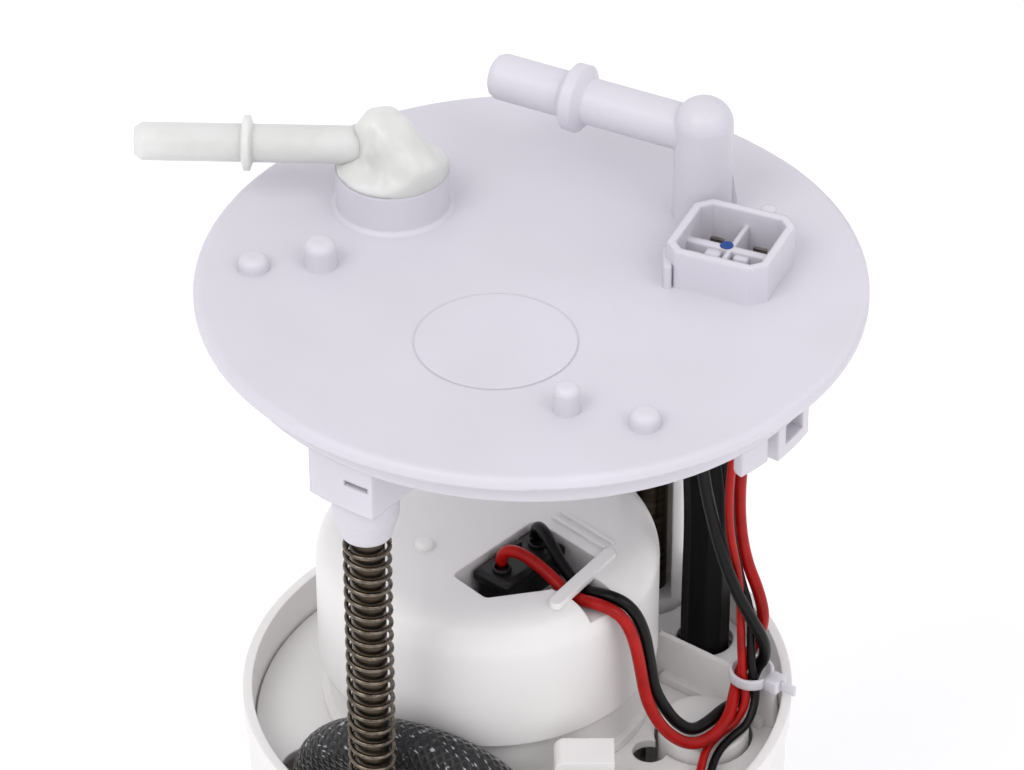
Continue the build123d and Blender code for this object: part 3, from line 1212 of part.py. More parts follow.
# ---- leads: a thick pair from the pump plug, a thin pair from the sender plug ----
LEAD_DROP_Z = -30.0
LEAD_ROUTES = {
    "pump_lead_red": [
        (-6.2, -5.6, -65.0),
        (-6.2, -5.6, -61.6),
        (-2.4, -7.0, -60.8),
        (3.0, -10.3, -63.4),
        (8.1, -14.7, -66.8),
        (14.0, -18.4, -65.6),
        (18.4, -19.4, -67.8),
        (20.8, -20.1, -73.1),
        (22.2, -20.7, -80.6),
        (23.2, -21.2, -87.3),
        (25.3, -21.8, -92.8),
        (28.5, -22.2, -97.3),
        (33.1, -21.8, -100.3),
        (37.8, -18.5, -100.4),
        (41.2, -13.0, -99.5),
        (42.4, -7.7, -96.9),
        (43.8, -4.4, -93.6),
        (46.4, -3.3, -88.4),
        (48.4, -3.0, -82.2),
        (47.2, -1.6, -76.1),
        (44.2, 0.8, -68.9),
        (42.7, 2.6, -59.0),
        (42.9, 3.6, -46.0),
    ],
    "pump_lead_black": [
        (0.9, 3.4, -65.0),
        (0.9, 3.4, -61.7),
        (3.0, -0.6, -61.2),
        (5.3, -5.4, -63.8),
        (10.0, -12.6, -66.7),
        (15.8, -16.2, -64.9),
        (20.3, -17.3, -67.1),
        (22.9, -17.9, -72.7),
        (24.1, -18.4, -80.3),
        (24.9, -19.0, -86.8),
        (27.1, -19.4, -91.7),
        (29.8, -19.2, -96.2),
        (33.0, -18.8, -98.8),
        (36.5, -15.0, -99.8),
        (40.2, -9.2, -100.6),
        (43.5, -6.4, -101.1),
        (45.2, -7.8, -97.5),
        (46.7, -5.2, -93.1),
        (48.8, -5.5, -89.8),
        (48.1, -6.5, -84.4),
        (45.1, -6.6, -78.4),
        (41.8, -5.7, -71.6),
        (38.9, -3.8, -63.6),
        (36.8, -1.8, -55.5),
        (34.9, -0.8, -46.0),
    ],
    "sender_lead_red": [
        (3.4, -62.9, -124.0),
        (3.4, -62.9, -119.2),
        (6.8, -63.4, -116.8),
        (12.6, -63.4, -115.7),
        (21.0, -61.4, -113.3),
        (28.6, -56.4, -109.6),
        (32.9, -50.8, -104.9),
        (31.6, -45.0, -102.4),
        (32.1, -38.6, -104.8),
        (33.4, -31.0, -105.6),
        (34.8, -24.4, -104.6),
        (36.1, -19.5, -102.8),
        (38.9, -15.1, -102.8),
        (42.4, -12.5, -102.0),
        (44.9, -10.5, -97.6),
        (43.9, -7.3, -93.2),
        (43.6, -6.4, -88.9),
        (43.3, -4.2, -79.9),
        (42.8, -3.2, -70.4),
        (40.5, -2.3, -59.5),
        (40.2, -2.5, -46.0),
    ],
    "sender_lead_black": [
        (0.8, -62.9, -124.0),
        (0.8, -62.9, -118.0),
        (4.8, -64.0, -114.4),
        (12.8, -64.8, -113.2),
        (23.2, -62.2, -111.4),
        (32.6, -57.2, -107.2),
        (36.6, -49.6, -103.8),
        (33.5, -43.9, -102.7),
        (34.4, -39.0, -105.0),
        (35.6, -31.6, -105.8),
        (36.8, -25.2, -104.7),
        (38.3, -20.6, -103.3),
        (41.1, -16.5, -102.8),
        (45.2, -13.5, -101.4),
        (46.9, -9.6, -96.5),
        (45.8, -7.5, -92.0),
        (45.5, -5.8, -87.4),
        (45.5, -3.2, -79.7),
        (43.3, -1.3, -72.8),
        (41.0, 0.2, -61.9),
        (40.2, 2.2, -50.0),
    ],
}
LEAD_TERMINALS = {"pump_lead_black": 0, "sender_lead_black": 1, "sender_lead_red": 2, "pump_lead_red": 3}
for name, route in LEAD_ROUTES.items():
    spot = TERMINAL_SPOTS[LEAD_TERMINALS[name]]
    lead_radius = PUMP_LEAD_RADIUS if name.startswith("pump") else SENDER_LEAD_RADIUS
    with BuildPart() as lead:
        cord(route + [(spot.X, spot.Y, LEAD_DROP_Z), (spot.X, spot.Y, TERMINAL_END_Z)], lead_radius)
    lead.part.label = name
    export_step(lead.part, "parts/" + name + ".step")

# ---- cable tie round the four leads ----
with BuildPart() as cable_tie:
    rod(TIE_RADIUS, TIE_CENTRE, TIE_Z, TIE_Z + TIE_WIDTH, bore=TIE_RADIUS - TIE_THICKNESS)
    head_direction = Vector(math.cos(math.radians(TIE_TURN)), math.sin(math.radians(TIE_TURN)))
    head_centre = Vector(*TIE_CENTRE) + head_direction * (TIE_RADIUS + TIE_HEAD[0] / 2 - 0.4)
    bar(TIE_HEAD[:2], (head_centre.X, head_centre.Y), TIE_Z - 0.4, TIE_Z + TIE_WIDTH + 0.4, turn=TIE_TURN)
    tail_centre = Vector(*TIE_CENTRE) + head_direction * (TIE_RADIUS + TIE_TAIL / 2)
    bar((TIE_TAIL, TIE_THICKNESS), (tail_centre.X, tail_centre.Y), TIE_Z, TIE_Z + TIE_WIDTH, turn=TIE_TURN)
cable_tie.part.label = "cable_tie"
export_step(cable_tie.part, "parts/cable_tie.step")
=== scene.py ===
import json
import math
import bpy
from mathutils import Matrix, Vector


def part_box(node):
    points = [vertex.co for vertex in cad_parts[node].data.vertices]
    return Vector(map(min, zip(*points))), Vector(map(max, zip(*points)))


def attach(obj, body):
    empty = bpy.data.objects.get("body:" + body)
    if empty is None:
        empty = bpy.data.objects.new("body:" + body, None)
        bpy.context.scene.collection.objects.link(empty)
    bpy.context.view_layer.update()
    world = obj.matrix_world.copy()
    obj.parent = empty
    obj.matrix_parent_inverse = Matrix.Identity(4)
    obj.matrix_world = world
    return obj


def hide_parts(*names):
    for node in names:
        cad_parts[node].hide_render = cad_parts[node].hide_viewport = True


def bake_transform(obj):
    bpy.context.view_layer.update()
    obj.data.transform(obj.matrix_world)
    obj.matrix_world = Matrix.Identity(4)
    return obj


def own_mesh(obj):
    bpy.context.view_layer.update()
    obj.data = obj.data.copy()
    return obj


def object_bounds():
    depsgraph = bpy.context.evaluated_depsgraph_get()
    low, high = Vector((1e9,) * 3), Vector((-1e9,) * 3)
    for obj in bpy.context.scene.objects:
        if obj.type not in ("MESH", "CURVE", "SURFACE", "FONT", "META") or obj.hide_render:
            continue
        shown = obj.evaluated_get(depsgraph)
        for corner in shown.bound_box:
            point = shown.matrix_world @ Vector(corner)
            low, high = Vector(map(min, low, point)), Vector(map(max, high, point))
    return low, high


bl_info = {
    "name": "Fuel pump module",
    "version": (1, 0, 0),
    "blender": (4, 5, 0),
    "location": "3D View > Sidebar > Pump module",
    "description": "Finishes, soft pieces and studio for a fuel pump module built on its engineering frame",
    "category": "Object",
}

import bmesh
import bpy
from bpy.props import FloatProperty, FloatVectorProperty, IntProperty, PointerProperty
from mathutils import Matrix, Vector, noise

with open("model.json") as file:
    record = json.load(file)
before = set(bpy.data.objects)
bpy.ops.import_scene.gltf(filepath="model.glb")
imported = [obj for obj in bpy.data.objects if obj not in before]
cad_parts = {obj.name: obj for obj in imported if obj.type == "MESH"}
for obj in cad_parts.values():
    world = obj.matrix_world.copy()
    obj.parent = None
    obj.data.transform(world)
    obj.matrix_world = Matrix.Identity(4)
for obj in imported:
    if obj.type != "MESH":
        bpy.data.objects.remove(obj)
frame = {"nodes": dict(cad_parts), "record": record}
CAD_BOX = [tuple(corner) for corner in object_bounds()]
MM = 0.001

# ---- places taken from the frame ---------------------------------------------------
SPRING_LOW, SPRING_HIGH = (Vector(corner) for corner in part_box("spring_front"))
SPRING_AXIS = (SPRING_LOW + SPRING_HIGH) / 2
FLOOR_Z = CAD_BOX[0][2]
REGISTER_INNER = 0.0598

# ---- small helpers -----------------------------------------------------------------


def linear(colour):
    """An sRGB hex colour as linear RGBA."""
    channels = []
    for start in (0, 2, 4):
        value = int(colour[start : start + 2], 16) / 255
        channels.append(value / 12.92 if value <= 0.04045 else ((value + 0.055) / 1.055) ** 2.4)
    return (*channels, 1.0)


def add_node(tree, kind, settings=None, links=None):
    """A node with its settings, as attributes or input values, and its incoming links."""
    made = tree.nodes.new(kind)
    for key, value in (settings or {}).items():
        if isinstance(key, int) or key in made.inputs:
            made.inputs[key].default_value = value
        else:
            setattr(made, key, value)
    for key, source in (links or {}).items():
        tree.links.new(source, made.inputs[key])
    return made


def new_material(name, colour, **sockets):
    """A node material with a principled shader; returns the material, its tree and the shader."""
    made = bpy.data.materials.new(name)
    made.use_nodes = True
    tree = made.node_tree
    shader = tree.nodes["Principled BSDF"]
    shader.inputs["Base Color"].default_value = linear(colour)
    for key, value in sockets.items():
        shader.inputs[key.replace("_", " ")].default_value = value
    return made, tree, shader


def object_noise(tree, scale, detail=2.0, stretch=(1, 1, 1)):
    """Noise on object coordinates, in cells per metre, stretched along an axis."""
    place = add_node(tree, "ShaderNodeTexCoord")
    mapped = add_node(tree, "ShaderNodeMapping", {"Scale": stretch}, {"Vector": place.outputs["Object"]})
    settings = {"Scale": scale, "Detail": detail}
    return add_node(tree, "ShaderNodeTexNoise", settings, {"Vector": mapped.outputs[0]})


def tint(tree, shader, factor, dark, light):
    """Varies the base colour between two hex colours."""
    ramp = add_node(tree, "ShaderNodeValToRGB", {}, {0: factor})
    ramp.color_ramp.elements[0].color = linear(dark)
    ramp.color_ramp.elements[1].color = linear(light)
    ramp.color_ramp.elements[0].position = 0.3
    ramp.color_ramp.elements[1].position = 0.7
    tree.links.new(ramp.outputs[0], shader.inputs["Base Color"])
    return ramp


def vary_roughness(tree, shader, factor, low, high):
    """Varies the roughness between two values."""
    spread = add_node(tree, "ShaderNodeMapRange", {"To Min": low, "To Max": high}, {0: factor})
    tree.links.new(spread.outputs[0], shader.inputs["Roughness"])


def soften(tree, edge):
    """Normals that round sharp moulded edges by a small radius."""
    return add_node(tree, "ShaderNodeBevel", {"samples": 8, "Radius": edge}).outputs[0]


def bump(tree, shader, height, distance, strength=1.0, edge=0.0):
    """Relief of a real depth in metres, over moulded edges that are rounded by a small radius."""
    links = {"Height": height}
    if edge:
        links["Normal"] = soften(tree, edge)
    made = add_node(tree, "ShaderNodeBump", {"Distance": distance, "Strength": strength}, links)
    tree.links.new(made.outputs[0], shader.inputs["Normal"])


def moulded(name, dark, light, roughness, edge=0.5 * MM, grain=0.0, **sockets):
    """Injection-moulded plastic: a soft gloss, a faint cloudiness and, if asked, a grained skin."""
    made, tree, shader = new_material(name, light, **sockets)
    cloud = object_noise(tree, 28, 2)
    tint(tree, shader, cloud.outputs[0], dark, light)
    vary_roughness(tree, shader, object_noise(tree, 60, 2).outputs[0], roughness - 0.03, roughness + 0.04)
    if grain:
        bump(tree, shader, object_noise(tree, 850, 2).outputs[0], grain, 0.6, edge)
    else:
        tree.links.new(soften(tree, edge), shader.inputs["Normal"])
    return made


def metal(name, colour, dark, roughness, stretch, scale, depth):
    """Bare metal with drawn or ground lines along one direction."""
    made, tree, shader = new_material(name, colour, Metallic=1.0)
    lines = object_noise(tree, scale, 3, stretch)
    tint(tree, shader, lines.outputs[0], dark, colour)
    vary_roughness(tree, shader, lines.outputs[0], roughness - 0.06, roughness + 0.1)
    bump(tree, shader, lines.outputs[0], depth, 0.5)
    return made


# ---- finishes ----------------------------------------------------------------------

# Light runs about 4 mm through unfilled white plastic, nearly alike in every colour.
MILKY = {"Subsurface_Weight": 0.2, "Subsurface_Scale": 0.004, "Subsurface_Radius": (1.0, 0.96, 0.92)}


def acetal_white():
    """Unfilled POM: milky, slightly violet white that lets a little light in at thin edges."""
    return moulded("acetal_white", "C8C6CD", "CECBD3", 0.42, 0.8 * MM, IOR=1.48, **MILKY)


def nylon_natural():
    """Unpigmented PA12: wax-like, cloudy and see-through where it is thin."""
    made, tree, shader = new_material(
        "nylon_natural",
        "D2D3CF",
        IOR=1.5,
        Subsurface_Weight=0.6,
        Subsurface_Scale=0.005,
        Subsurface_Radius=(1.0, 0.98, 0.94),
    )
    cloud = object_noise(tree, 90, 3)
    tint(tree, shader, cloud.outputs[0], "C9CAC5", "D6D7D4")
    vary_roughness(tree, shader, cloud.outputs[0], 0.3, 0.45)
    bump(tree, shader, object_noise(tree, 300, 2).outputs[0], 0.03 * MM, 0.6, 0.5 * MM)
    return made


def reservoir_white():
    """High-gloss POM of the reservoir pieces: a warmer white than the flange."""
    return moulded("reservoir_white", "E0DEDC", "E4E2E0", 0.34, 0.5 * MM, IOR=1.48, **MILKY)


def nylon_black():
    """Glass-filled PA66 of plugs and pump ends: black with a faint mottled gloss."""
    return moulded("nylon_black", "070707", "0E0E0F", 0.36, 0.3 * MM, 0.01 * MM, Specular_IOR_Level=0.35)


def float_foam():
    """Closed-cell nitrile foam: matt black, with cells of half a millimetre."""
    made, tree, shader = new_material("float_foam", "1A1A1A", Roughness=0.9)
    place = add_node(tree, "ShaderNodeTexCoord")
    cells = add_node(tree, "ShaderNodeTexVoronoi", {"Scale": 1800.0}, {"Vector": place.outputs["Object"]})
    tint(tree, shader, cells.outputs["Distance"], "0E0E0E", "2A2A2A")
    bump(tree, shader, cells.outputs["Distance"], 0.12 * MM, 0.8)
    return made


def steel_ground():
    """Centreless-ground steel bar: brownish grey, with fine rings round the bar."""
    return metal("steel_ground", "5C5347", "3E372E", 0.32, (1, 1, 6), 160, 0.004 * MM)


def steel_spring():
    """Drawn stainless spring wire: warm grey with a dull sheen."""
    return metal("steel_spring", "7E7468", "554D43", 0.26, (1, 1, 1), 700, 0.004 * MM)


def steel_zinc():
    """Zinc-plated deep-drawn steel: a cool bluish grey with soft streaks."""
    return metal("steel_zinc", "B4B8BA", "8F9496", 0.3, (1, 1, 0.2), 300, 0.004 * MM)


def brass_tinned():
    """Tin-plated brass terminal: a dull, slightly yellow grey."""
    return metal("brass_tinned", "8E8880", "6E675E", 0.35, (1, 1, 0.2), 500, 0.003 * MM)


def ferrite():
    """Sintered ferrite magnet: charcoal and matt, with a pressed grain."""
    made, tree, shader = new_material("ferrite", "2A2B2D", Roughness=0.8)
    grain = object_noise(tree, 1500, 3)
    tint(tree, shader, grain.outputs[0], "1F2022", "35363A")
    bump(tree, shader, grain.outputs[0], 0.02 * MM)
    return made


def rubber_black():
    """Nitrile rubber: deep black with a low, waxy sheen and flow marks along the extrusion."""
    made, tree, shader = new_material("rubber_black", "060607", Specular_IOR_Level=0.15)
    streaks = object_noise(tree, 600, 2, (1, 1, 0.03))
    vary_roughness(tree, shader, streaks.outputs[0], 0.5, 0.7)
    tint(tree, shader, streaks.outputs[0], "040405", "0B0B0C")
    bump(tree, shader, streaks.outputs[0], 0.03 * MM, 0.5)
    return made


def pvc(name, dark, light):
    """Extruded PVC insulation: glossy, with slight lengthwise waviness."""
    made, tree, shader = new_material(name, light, Specular_IOR_Level=0.22)
    wave = object_noise(tree, 200, 1)
    tint(tree, shader, wave.outputs[0], dark, light)
    vary_roughness(tree, shader, wave.outputs[0], 0.28, 0.38)
    return made


def tie_nylon():
    """Natural PA66 cable tie: clear with a milky violet cast."""
    made, tree, shader = new_material(
        "tie_nylon",
        "E4E2E8",
        IOR=1.5,
        Transmission_Weight=0.25,
        Subsurface_Weight=0.4,
        Subsurface_Scale=0.003,
        Subsurface_Radius=(1.0, 0.97, 0.95),
    )
    haze = object_noise(tree, 200, 2)
    vary_roughness(tree, shader, haze.outputs[0], 0.25, 0.4)
    tint(tree, shader, haze.outputs[0], "DEDCE4", "EAE8EE")
    return made


def filter_paper():
    """Resin-treated cellulose with pleats 2.4 mm apart."""
    made, tree, shader = new_material("filter_paper", "D9CDA6", Roughness=0.9)
    tint(tree, shader, object_noise(tree, 700, 4, (1, 1, 0.2)).outputs[0], "CBBE95", "DDD2AE")
    bump(tree, shader, object_noise(tree, 420, 1, (1, 1, 0.01)).outputs[0], 0.8 * MM)
    return made


def strainer_mesh():
    """Woven polyamide gauze, its threads drawn 0.5 mm apart so that they show."""
    made, tree, shader = new_material("strainer_mesh", "C9CBC6", Roughness=0.7)
    place = add_node(tree, "ShaderNodeTexCoord")
    waves = []
    for direction in ("X", "Y"):
        settings = {"bands_direction": direction, "Scale": 640.0}
        waves.append(add_node(tree, "ShaderNodeTexWave", settings, {"Vector": place.outputs["Object"]}))
    both = add_node(
        tree, "ShaderNodeMath", {"operation": "MULTIPLY"}, {0: waves[0].outputs[1], 1: waves[1].outputs[1]}
    )
    tint(tree, shader, both.outputs[0], "A9ABA6", "D6D8D3")
    bump(tree, shader, both.outputs[0], 0.15 * MM)
    return made


def alumina():
    """Fired alumina card: off-white, matt and even, with a fine speckle."""
    made, tree, shader = new_material("alumina", "DEDBD2", Roughness=0.6)
    tint(tree, shader, object_noise(tree, 2000, 3).outputs[0], "D3D0C6", "E2E0D8")
    return made


def silver_ink():
    """Printed silver-palladium track on the card."""
    made, tree, shader = new_material("silver_ink", "A9A69E", Metallic=0.8)
    vary_roughness(tree, shader, object_noise(tree, 2500, 2).outputs[0], 0.4, 0.6)
    return made


def seal_blue():
    """Dark blue silicone wire seal, faintly translucent."""
    made, tree, shader = new_material("seal_blue", "0C3C86", Subsurface_Weight=0.1, Subsurface_Scale=0.001)
    vary_roughness(tree, shader, object_noise(tree, 900, 2).outputs[0], 0.4, 0.55)
    return made


def sleeve_braid():
    """PET braid: black yarns laid both ways at 1.5 mm, with painted glints: pale highlight dashes painted
    into the base colour on the yarns of one direction.
    """
    made, tree, shader = new_material("sleeve_braid", "0D0D0F", Sheen_Weight=0.25, Sheen_Roughness=0.4)
    place = add_node(tree, "ShaderNodeUVMap")
    turned = []
    for angle in (33, -33):
        settings = {"Rotation": (0, 0, math.radians(angle)), "Scale": (1000, 1000, 1)}
        mapped = add_node(tree, "ShaderNodeMapping", settings, {"Vector": place.outputs[0]})
        # One yarn is 1.5 mm wide: the wave repeats every 0.314 mm, divided by its scale.
        wave = add_node(
            tree, "ShaderNodeTexWave", {"bands_direction": "Y", "Scale": 0.21}, {"Vector": mapped.outputs[0]}
        )
        cells = add_node(
            tree,
            "ShaderNodeTexBrick",
            {
                "Scale": 0.33,
                "Mortar Size": 0.012,
                "Bias": 0.0,
                "Color1": (0, 0, 0, 1),
                "Color2": (1, 1, 1, 1),
            },
            {"Vector": mapped.outputs[0]},
        )
        turned.append((wave, cells, mapped))
    bands = {0: turned[0][0].outputs[1], 1: turned[1][0].outputs[1]}
    weave = add_node(tree, "ShaderNodeMath", {"operation": "MAXIMUM"}, bands)
    dashes = add_node(
        tree,
        "ShaderNodeTexNoise",
        {"Scale": 0.9, "Detail": 0.0},
        {"Vector": add_node(
            tree, "ShaderNodeMapping", {"Scale": (2.4, 0.55, 1)}, {"Vector": turned[0][2].outputs[0]}
        ).outputs[0]},
    )
    glint = add_node(tree, "ShaderNodeMapRange", {"From Min": 0.66, "From Max": 0.72}, {0: dashes.outputs[0]})
    painted_glint_mask = add_node(
        tree, "ShaderNodeMath", {"operation": "MULTIPLY"}, {0: glint.outputs[0], 1: turned[0][0].outputs[1]}
    )
    # Painted highlight: the pale glint dashes are mixed into the base colour, not made by the lights.
    colour = add_node(
        tree,
        "ShaderNodeMix",
        {"data_type": "RGBA", 6: linear("0B0B0D"), 7: linear("A7A7AA")},
        {0: painted_glint_mask.outputs[0]},
    )
    tree.links.new(colour.outputs[2], shader.inputs["Base Color"])
    vary_roughness(tree, shader, weave.outputs[0], 0.75, 0.45)
    bump(tree, shader, weave.outputs[0], 0.35 * MM)
    return made


FINISHES = {
    "white_acetal": acetal_white,
    "natural_nylon": nylon_natural,
    "white_tub": reservoir_white,
    "steel": steel_ground,
    "black_nylon": nylon_black,
    "black_rubber": rubber_black,
    "braided_sleeve": sleeve_braid,
    "red_insulation": lambda: pvc("pvc_red", "8E0A08", "A8120D"),
    "black_insulation": lambda: pvc("pvc_black", "030304", "070708"),
    "clear_nylon": tie_nylon,
    "tinned_brass": brass_tinned,
    "zinc_can": steel_zinc,
    "ferrite": ferrite,
    "filter_paper": filter_paper,
    "strainer_mesh": strainer_mesh,
    "ceramic": alumina,
    "float_foam": float_foam,
}
made_finishes = {}


def finish_of(slot):
    """The material of one slot, made once."""
    if slot not in made_finishes:
        made_finishes[slot] = FINISHES[slot]()
    return made_finishes[slot]


# ---- mesh helpers ------------------------------------------------------------------


def add_object(name, mesh, material, body):
    """Links a finished mesh, gives it its material and hangs it on a body."""
    made = bpy.data.objects.new(name, mesh)
    bpy.context.scene.collection.objects.link(made)
    mesh.materials.clear()
    mesh.materials.append(material)
    if body:
        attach(made, body)
    return made


def mesh_from(name, shape, smooth=True):
    """Turns a bmesh into a mesh with outward faces."""
    bmesh.ops.recalc_face_normals(shape, faces=shape.faces)
    mesh = bpy.data.meshes.new(name)
    shape.to_mesh(mesh)
    shape.free()
    mesh.polygons.foreach_set("use_smooth", [smooth] * len(mesh.polygons))
    return mesh


def rounded_block(shape, size, centre, turn=0.0, radius=0.4 * MM, segments=3):
    """Adds a bevelled box to a bmesh."""
    placed = Matrix.Translation(centre) @ Matrix.Rotation(turn, 4, "Z") @ Matrix.Diagonal((*size, 1))
    made = bmesh.ops.create_cube(shape, size=1.0, matrix=placed)
    edges = {edge for vertex in made["verts"] for edge in vertex.link_edges}
    bmesh.ops.bevel(shape, geom=list(edges), offset=radius, segments=segments, profile=0.5, affect="EDGES")


def smooth_path(points):
    """Points along the open NURBS line of a route given in millimetres."""
    curve = bpy.data.curves.new("route", "CURVE")
    curve.dimensions = "3D"
    spline = curve.splines.new("NURBS")
    spline.points.add(len(points) - 1)
    for target, point in zip(spline.points, points):
        target.co = (*(value * MM for value in point), 1.0)
    spline.order_u = 3
    spline.use_endpoint_u = True
    spline.resolution_u = 8
    holder = bpy.data.objects.new("route", curve)
    mesh = bpy.data.meshes.new_from_object(holder)
    line = [vertex.co.copy() for vertex in mesh.vertices]
    bpy.data.objects.remove(holder)
    bpy.data.curves.remove(curve)
    bpy.data.meshes.remove(mesh)
    return line


def tube(name, points, section, bore=0.0):
    """A closed tube along a route; section gives the radius at each angle, and UVs are in metres."""
    line = smooth_path(points)
    sides = len(section)
    shape = bmesh.new()
    layer = shape.loops.layers.uv.new("UVMap")
    rings, lengths = [], []
    across, travelled = None, 0.0
    for index, spot in enumerate(line):
        ahead = line[min(index + 1, len(line) - 1)] - line[max(index - 1, 0)]
        ahead.normalize()
        if across is None:
            across = ahead.orthogonal().normalized()
        across = (across - ahead * across.dot(ahead)).normalized()
        beside = ahead.cross(across)
        if index:
            travelled += (spot - line[index - 1]).length
        lengths.append(travelled)
        ring = []
        for side, radius in enumerate(section):
            angle = math.tau * side / sides
            outward = across * math.cos(angle) + beside * math.sin(angle)
            ring.append(shape.verts.new(spot + outward * radius))
        rings.append(ring)
    girth = math.tau * max(section)
    for index in range(len(rings) - 1):
        for side in range(sides):
            after = (side + 1) % sides
            face = shape.faces.new(
                (rings[index][side], rings[index][after], rings[index + 1][after], rings[index + 1][side])
            )
            spots = (
                (side, index),
                (side + 1, index),
                (side + 1, index + 1),
                (side, index + 1),
            )
            for loop, (around, along) in zip(face.loops, spots):
                loop[layer].uv = (girth * around / sides, lengths[along])
    for ring, inward in ((rings[0], line[1] - line[0]), (rings[-1], line[-2] - line[-1])):
        centre = sum((vertex.co for vertex in ring), Vector()) / sides
        if bore:
            lip = [shape.verts.new(centre + (vertex.co - centre).normalized() * bore) for vertex in ring]
            deep = [shape.verts.new(vertex.co + inward.normalized() * 3 * MM) for vertex in lip]
            for side in range(sides):
                after = (side + 1) % sides
                shape.faces.new((ring[side], ring[after], lip[after], lip[side]))
                shape.faces.new((lip[side], lip[after], deep[after], deep[side]))
            shape.faces.new(deep)
        else:
            shape.faces.new(ring)
    return mesh_from(name, shape)


def run_tree(name, tree, values, material, body):
    """Evaluates a geometry tree on an empty mesh and keeps the plain result."""
    holder = bpy.data.objects.new(name + "_source", bpy.data.meshes.new(name + "_source"))
    bpy.context.scene.collection.objects.link(holder)
    modifier = holder.modifiers.new("build", "NODES")
    modifier.node_group = tree
    for item in tree.interface.items_tree:
        if item.in_out == "INPUT" and item.name in values:
            modifier[item.identifier] = values[item.name]
    bpy.context.view_layer.update()
    evaluated = holder.evaluated_get(bpy.context.evaluated_depsgraph_get())
    mesh = bpy.data.meshes.new_from_object(evaluated)
    mesh.name = name
    holder.modifiers.clear()
    bpy.data.objects.remove(holder)
    return add_object(name, mesh, material, body)


def new_tree(name, sockets):
    """An empty geometry tree with named inputs; returns the tree and its input node."""
    tree = bpy.data.node_groups.new(name, "GeometryNodeTree")
    for label, kind in sockets:
        tree.interface.new_socket(name=label, in_out="INPUT", socket_type=kind)
    tree.interface.new_socket(name="Geometry", in_out="OUTPUT", socket_type="NodeSocketGeometry")
    return tree, add_node(tree, "NodeGroupInput")


def end_tree(tree, geometry, start, smooth=False):
    """Realizes, smooths if asked, and colours what a tree has made, and hands it out."""
    last = add_node(tree, "GeometryNodeRealizeInstances", {}, {"Geometry": geometry})
    if smooth:
        last = add_node(tree, "GeometryNodeSetShadeSmooth", {}, {"Geometry": last.outputs[0]})
    links = {"Geometry": last.outputs[0], "Material": start.outputs["Material"]}
    coloured = add_node(tree, "GeometryNodeSetMaterial", {}, links)
    add_node(tree, "NodeGroupOutput", {}, {0: coloured.outputs[0]})


def row_of_blocks(name):
    """A tree that sets equal blocks in a row."""
    tree, start = new_tree(
        name,
        [
            ("Count", "NodeSocketInt"),
            ("Start", "NodeSocketVector"),
            ("Step", "NodeSocketVector"),
            ("Size", "NodeSocketVector"),
            ("Turn", "NodeSocketVector"),
            ("Material", "NodeSocketMaterial"),
        ],
    )
    line = add_node(
        tree,
        "GeometryNodeMeshLine",
        {},
        {
            "Count": start.outputs["Count"],
            "Start Location": start.outputs["Start"],
            "Offset": start.outputs["Step"],
        },
    )
    cube = add_node(tree, "GeometryNodeMeshCube", {}, {"Size": start.outputs["Size"]})
    spread = add_node(
        tree,
        "GeometryNodeInstanceOnPoints",
        {},
        {"Points": line.outputs[0], "Instance": cube.outputs[0], "Rotation": start.outputs["Turn"]},
    )
    end_tree(tree, spread.outputs[0], start)
    return tree


# ---- sizes and colours that a user may change --------------------------------------


class SpringSizes(bpy.types.PropertyGroup):
    """Coil spring on the front guide rod."""

    wire: FloatProperty(
        name="Wire", description="Diameter of the spring wire", default=0.98 * MM, unit="LENGTH"
    )
    pitch: FloatProperty(name="Pitch", description="Distance between turns", default=3.2 * MM, unit="LENGTH")
    sides: IntProperty(name="Sides", description="Points round the wire", default=10, min=6)


class HoseSizes(bpy.types.PropertyGroup):
    """The two hoses that are in sight."""

    sleeve: FloatProperty(
        name="Sleeve radius", description="Radius over the braid", default=5.7 * MM, unit="LENGTH"
    )
    bore: FloatProperty(name="Bore", description="Radius of the hose's bore", default=4.0 * MM, unit="LENGTH")
    rubber: FloatProperty(
        name="Rubber radius", description="Radius of the plain hose", default=5.3 * MM, unit="LENGTH"
    )
    ridges: IntProperty(name="Ridges", description="Lengthwise ridges on the plain hose", default=9, min=3)


class LeadSizes(bpy.types.PropertyGroup):
    """The four leads and their tie."""

    pump: FloatProperty(
        name="Pump lead", description="Radius of a pump lead", default=1.3 * MM, unit="LENGTH"
    )
    sender: FloatProperty(
        name="Sender lead", description="Radius of a sender lead", default=0.9 * MM, unit="LENGTH"
    )
    tooth: FloatProperty(
        name="Tie tooth", description="Spacing of the tie's teeth", default=0.9 * MM, unit="LENGTH"
    )


class MouldedSizes(bpy.types.PropertyGroup):
    """Small moulded and welded details of the flange."""

    ribs: IntProperty(name="Ribs", description="Stiffening ribs under the flange", default=12, min=3)
    rib_wall: FloatProperty(
        name="Rib wall", description="Thickness of a rib", default=1.4 * MM, unit="LENGTH"
    )
    rib_depth: FloatProperty(name="Rib depth", description="Depth of a rib", default=2.6 * MM, unit="LENGTH")
    weld: FloatProperty(
        name="Weld bead", description="Height of the melted bead's lumps", default=0.8 * MM, unit="LENGTH"
    )


class StudioSizes(bpy.types.PropertyGroup):
    """Camera, floor and lights."""

    camera: FloatVectorProperty(
        name="Camera", description="Place of the camera", default=(-0.0039, -0.8131, 0.5685), unit="LENGTH"
    )
    pitch: FloatProperty(
        name="Pitch", description="Downward tilt", default=math.radians(36.07), unit="ROTATION"
    )
    roll: FloatProperty(
        name="Roll", description="Roll of the camera", default=math.radians(-0.196), unit="ROTATION"
    )
    lens: FloatProperty(name="Lens", description="Focal length on a 36 mm frame, in mm", default=175.8)
    key: FloatProperty(name="Key light", description="Power of the left light", default=24.0, unit="POWER")
    fill: FloatProperty(name="Fill light", description="Power of the right light", default=14.0, unit="POWER")
    sky: FloatProperty(name="Sky", description="Brightness of the white surroundings", default=0.93)


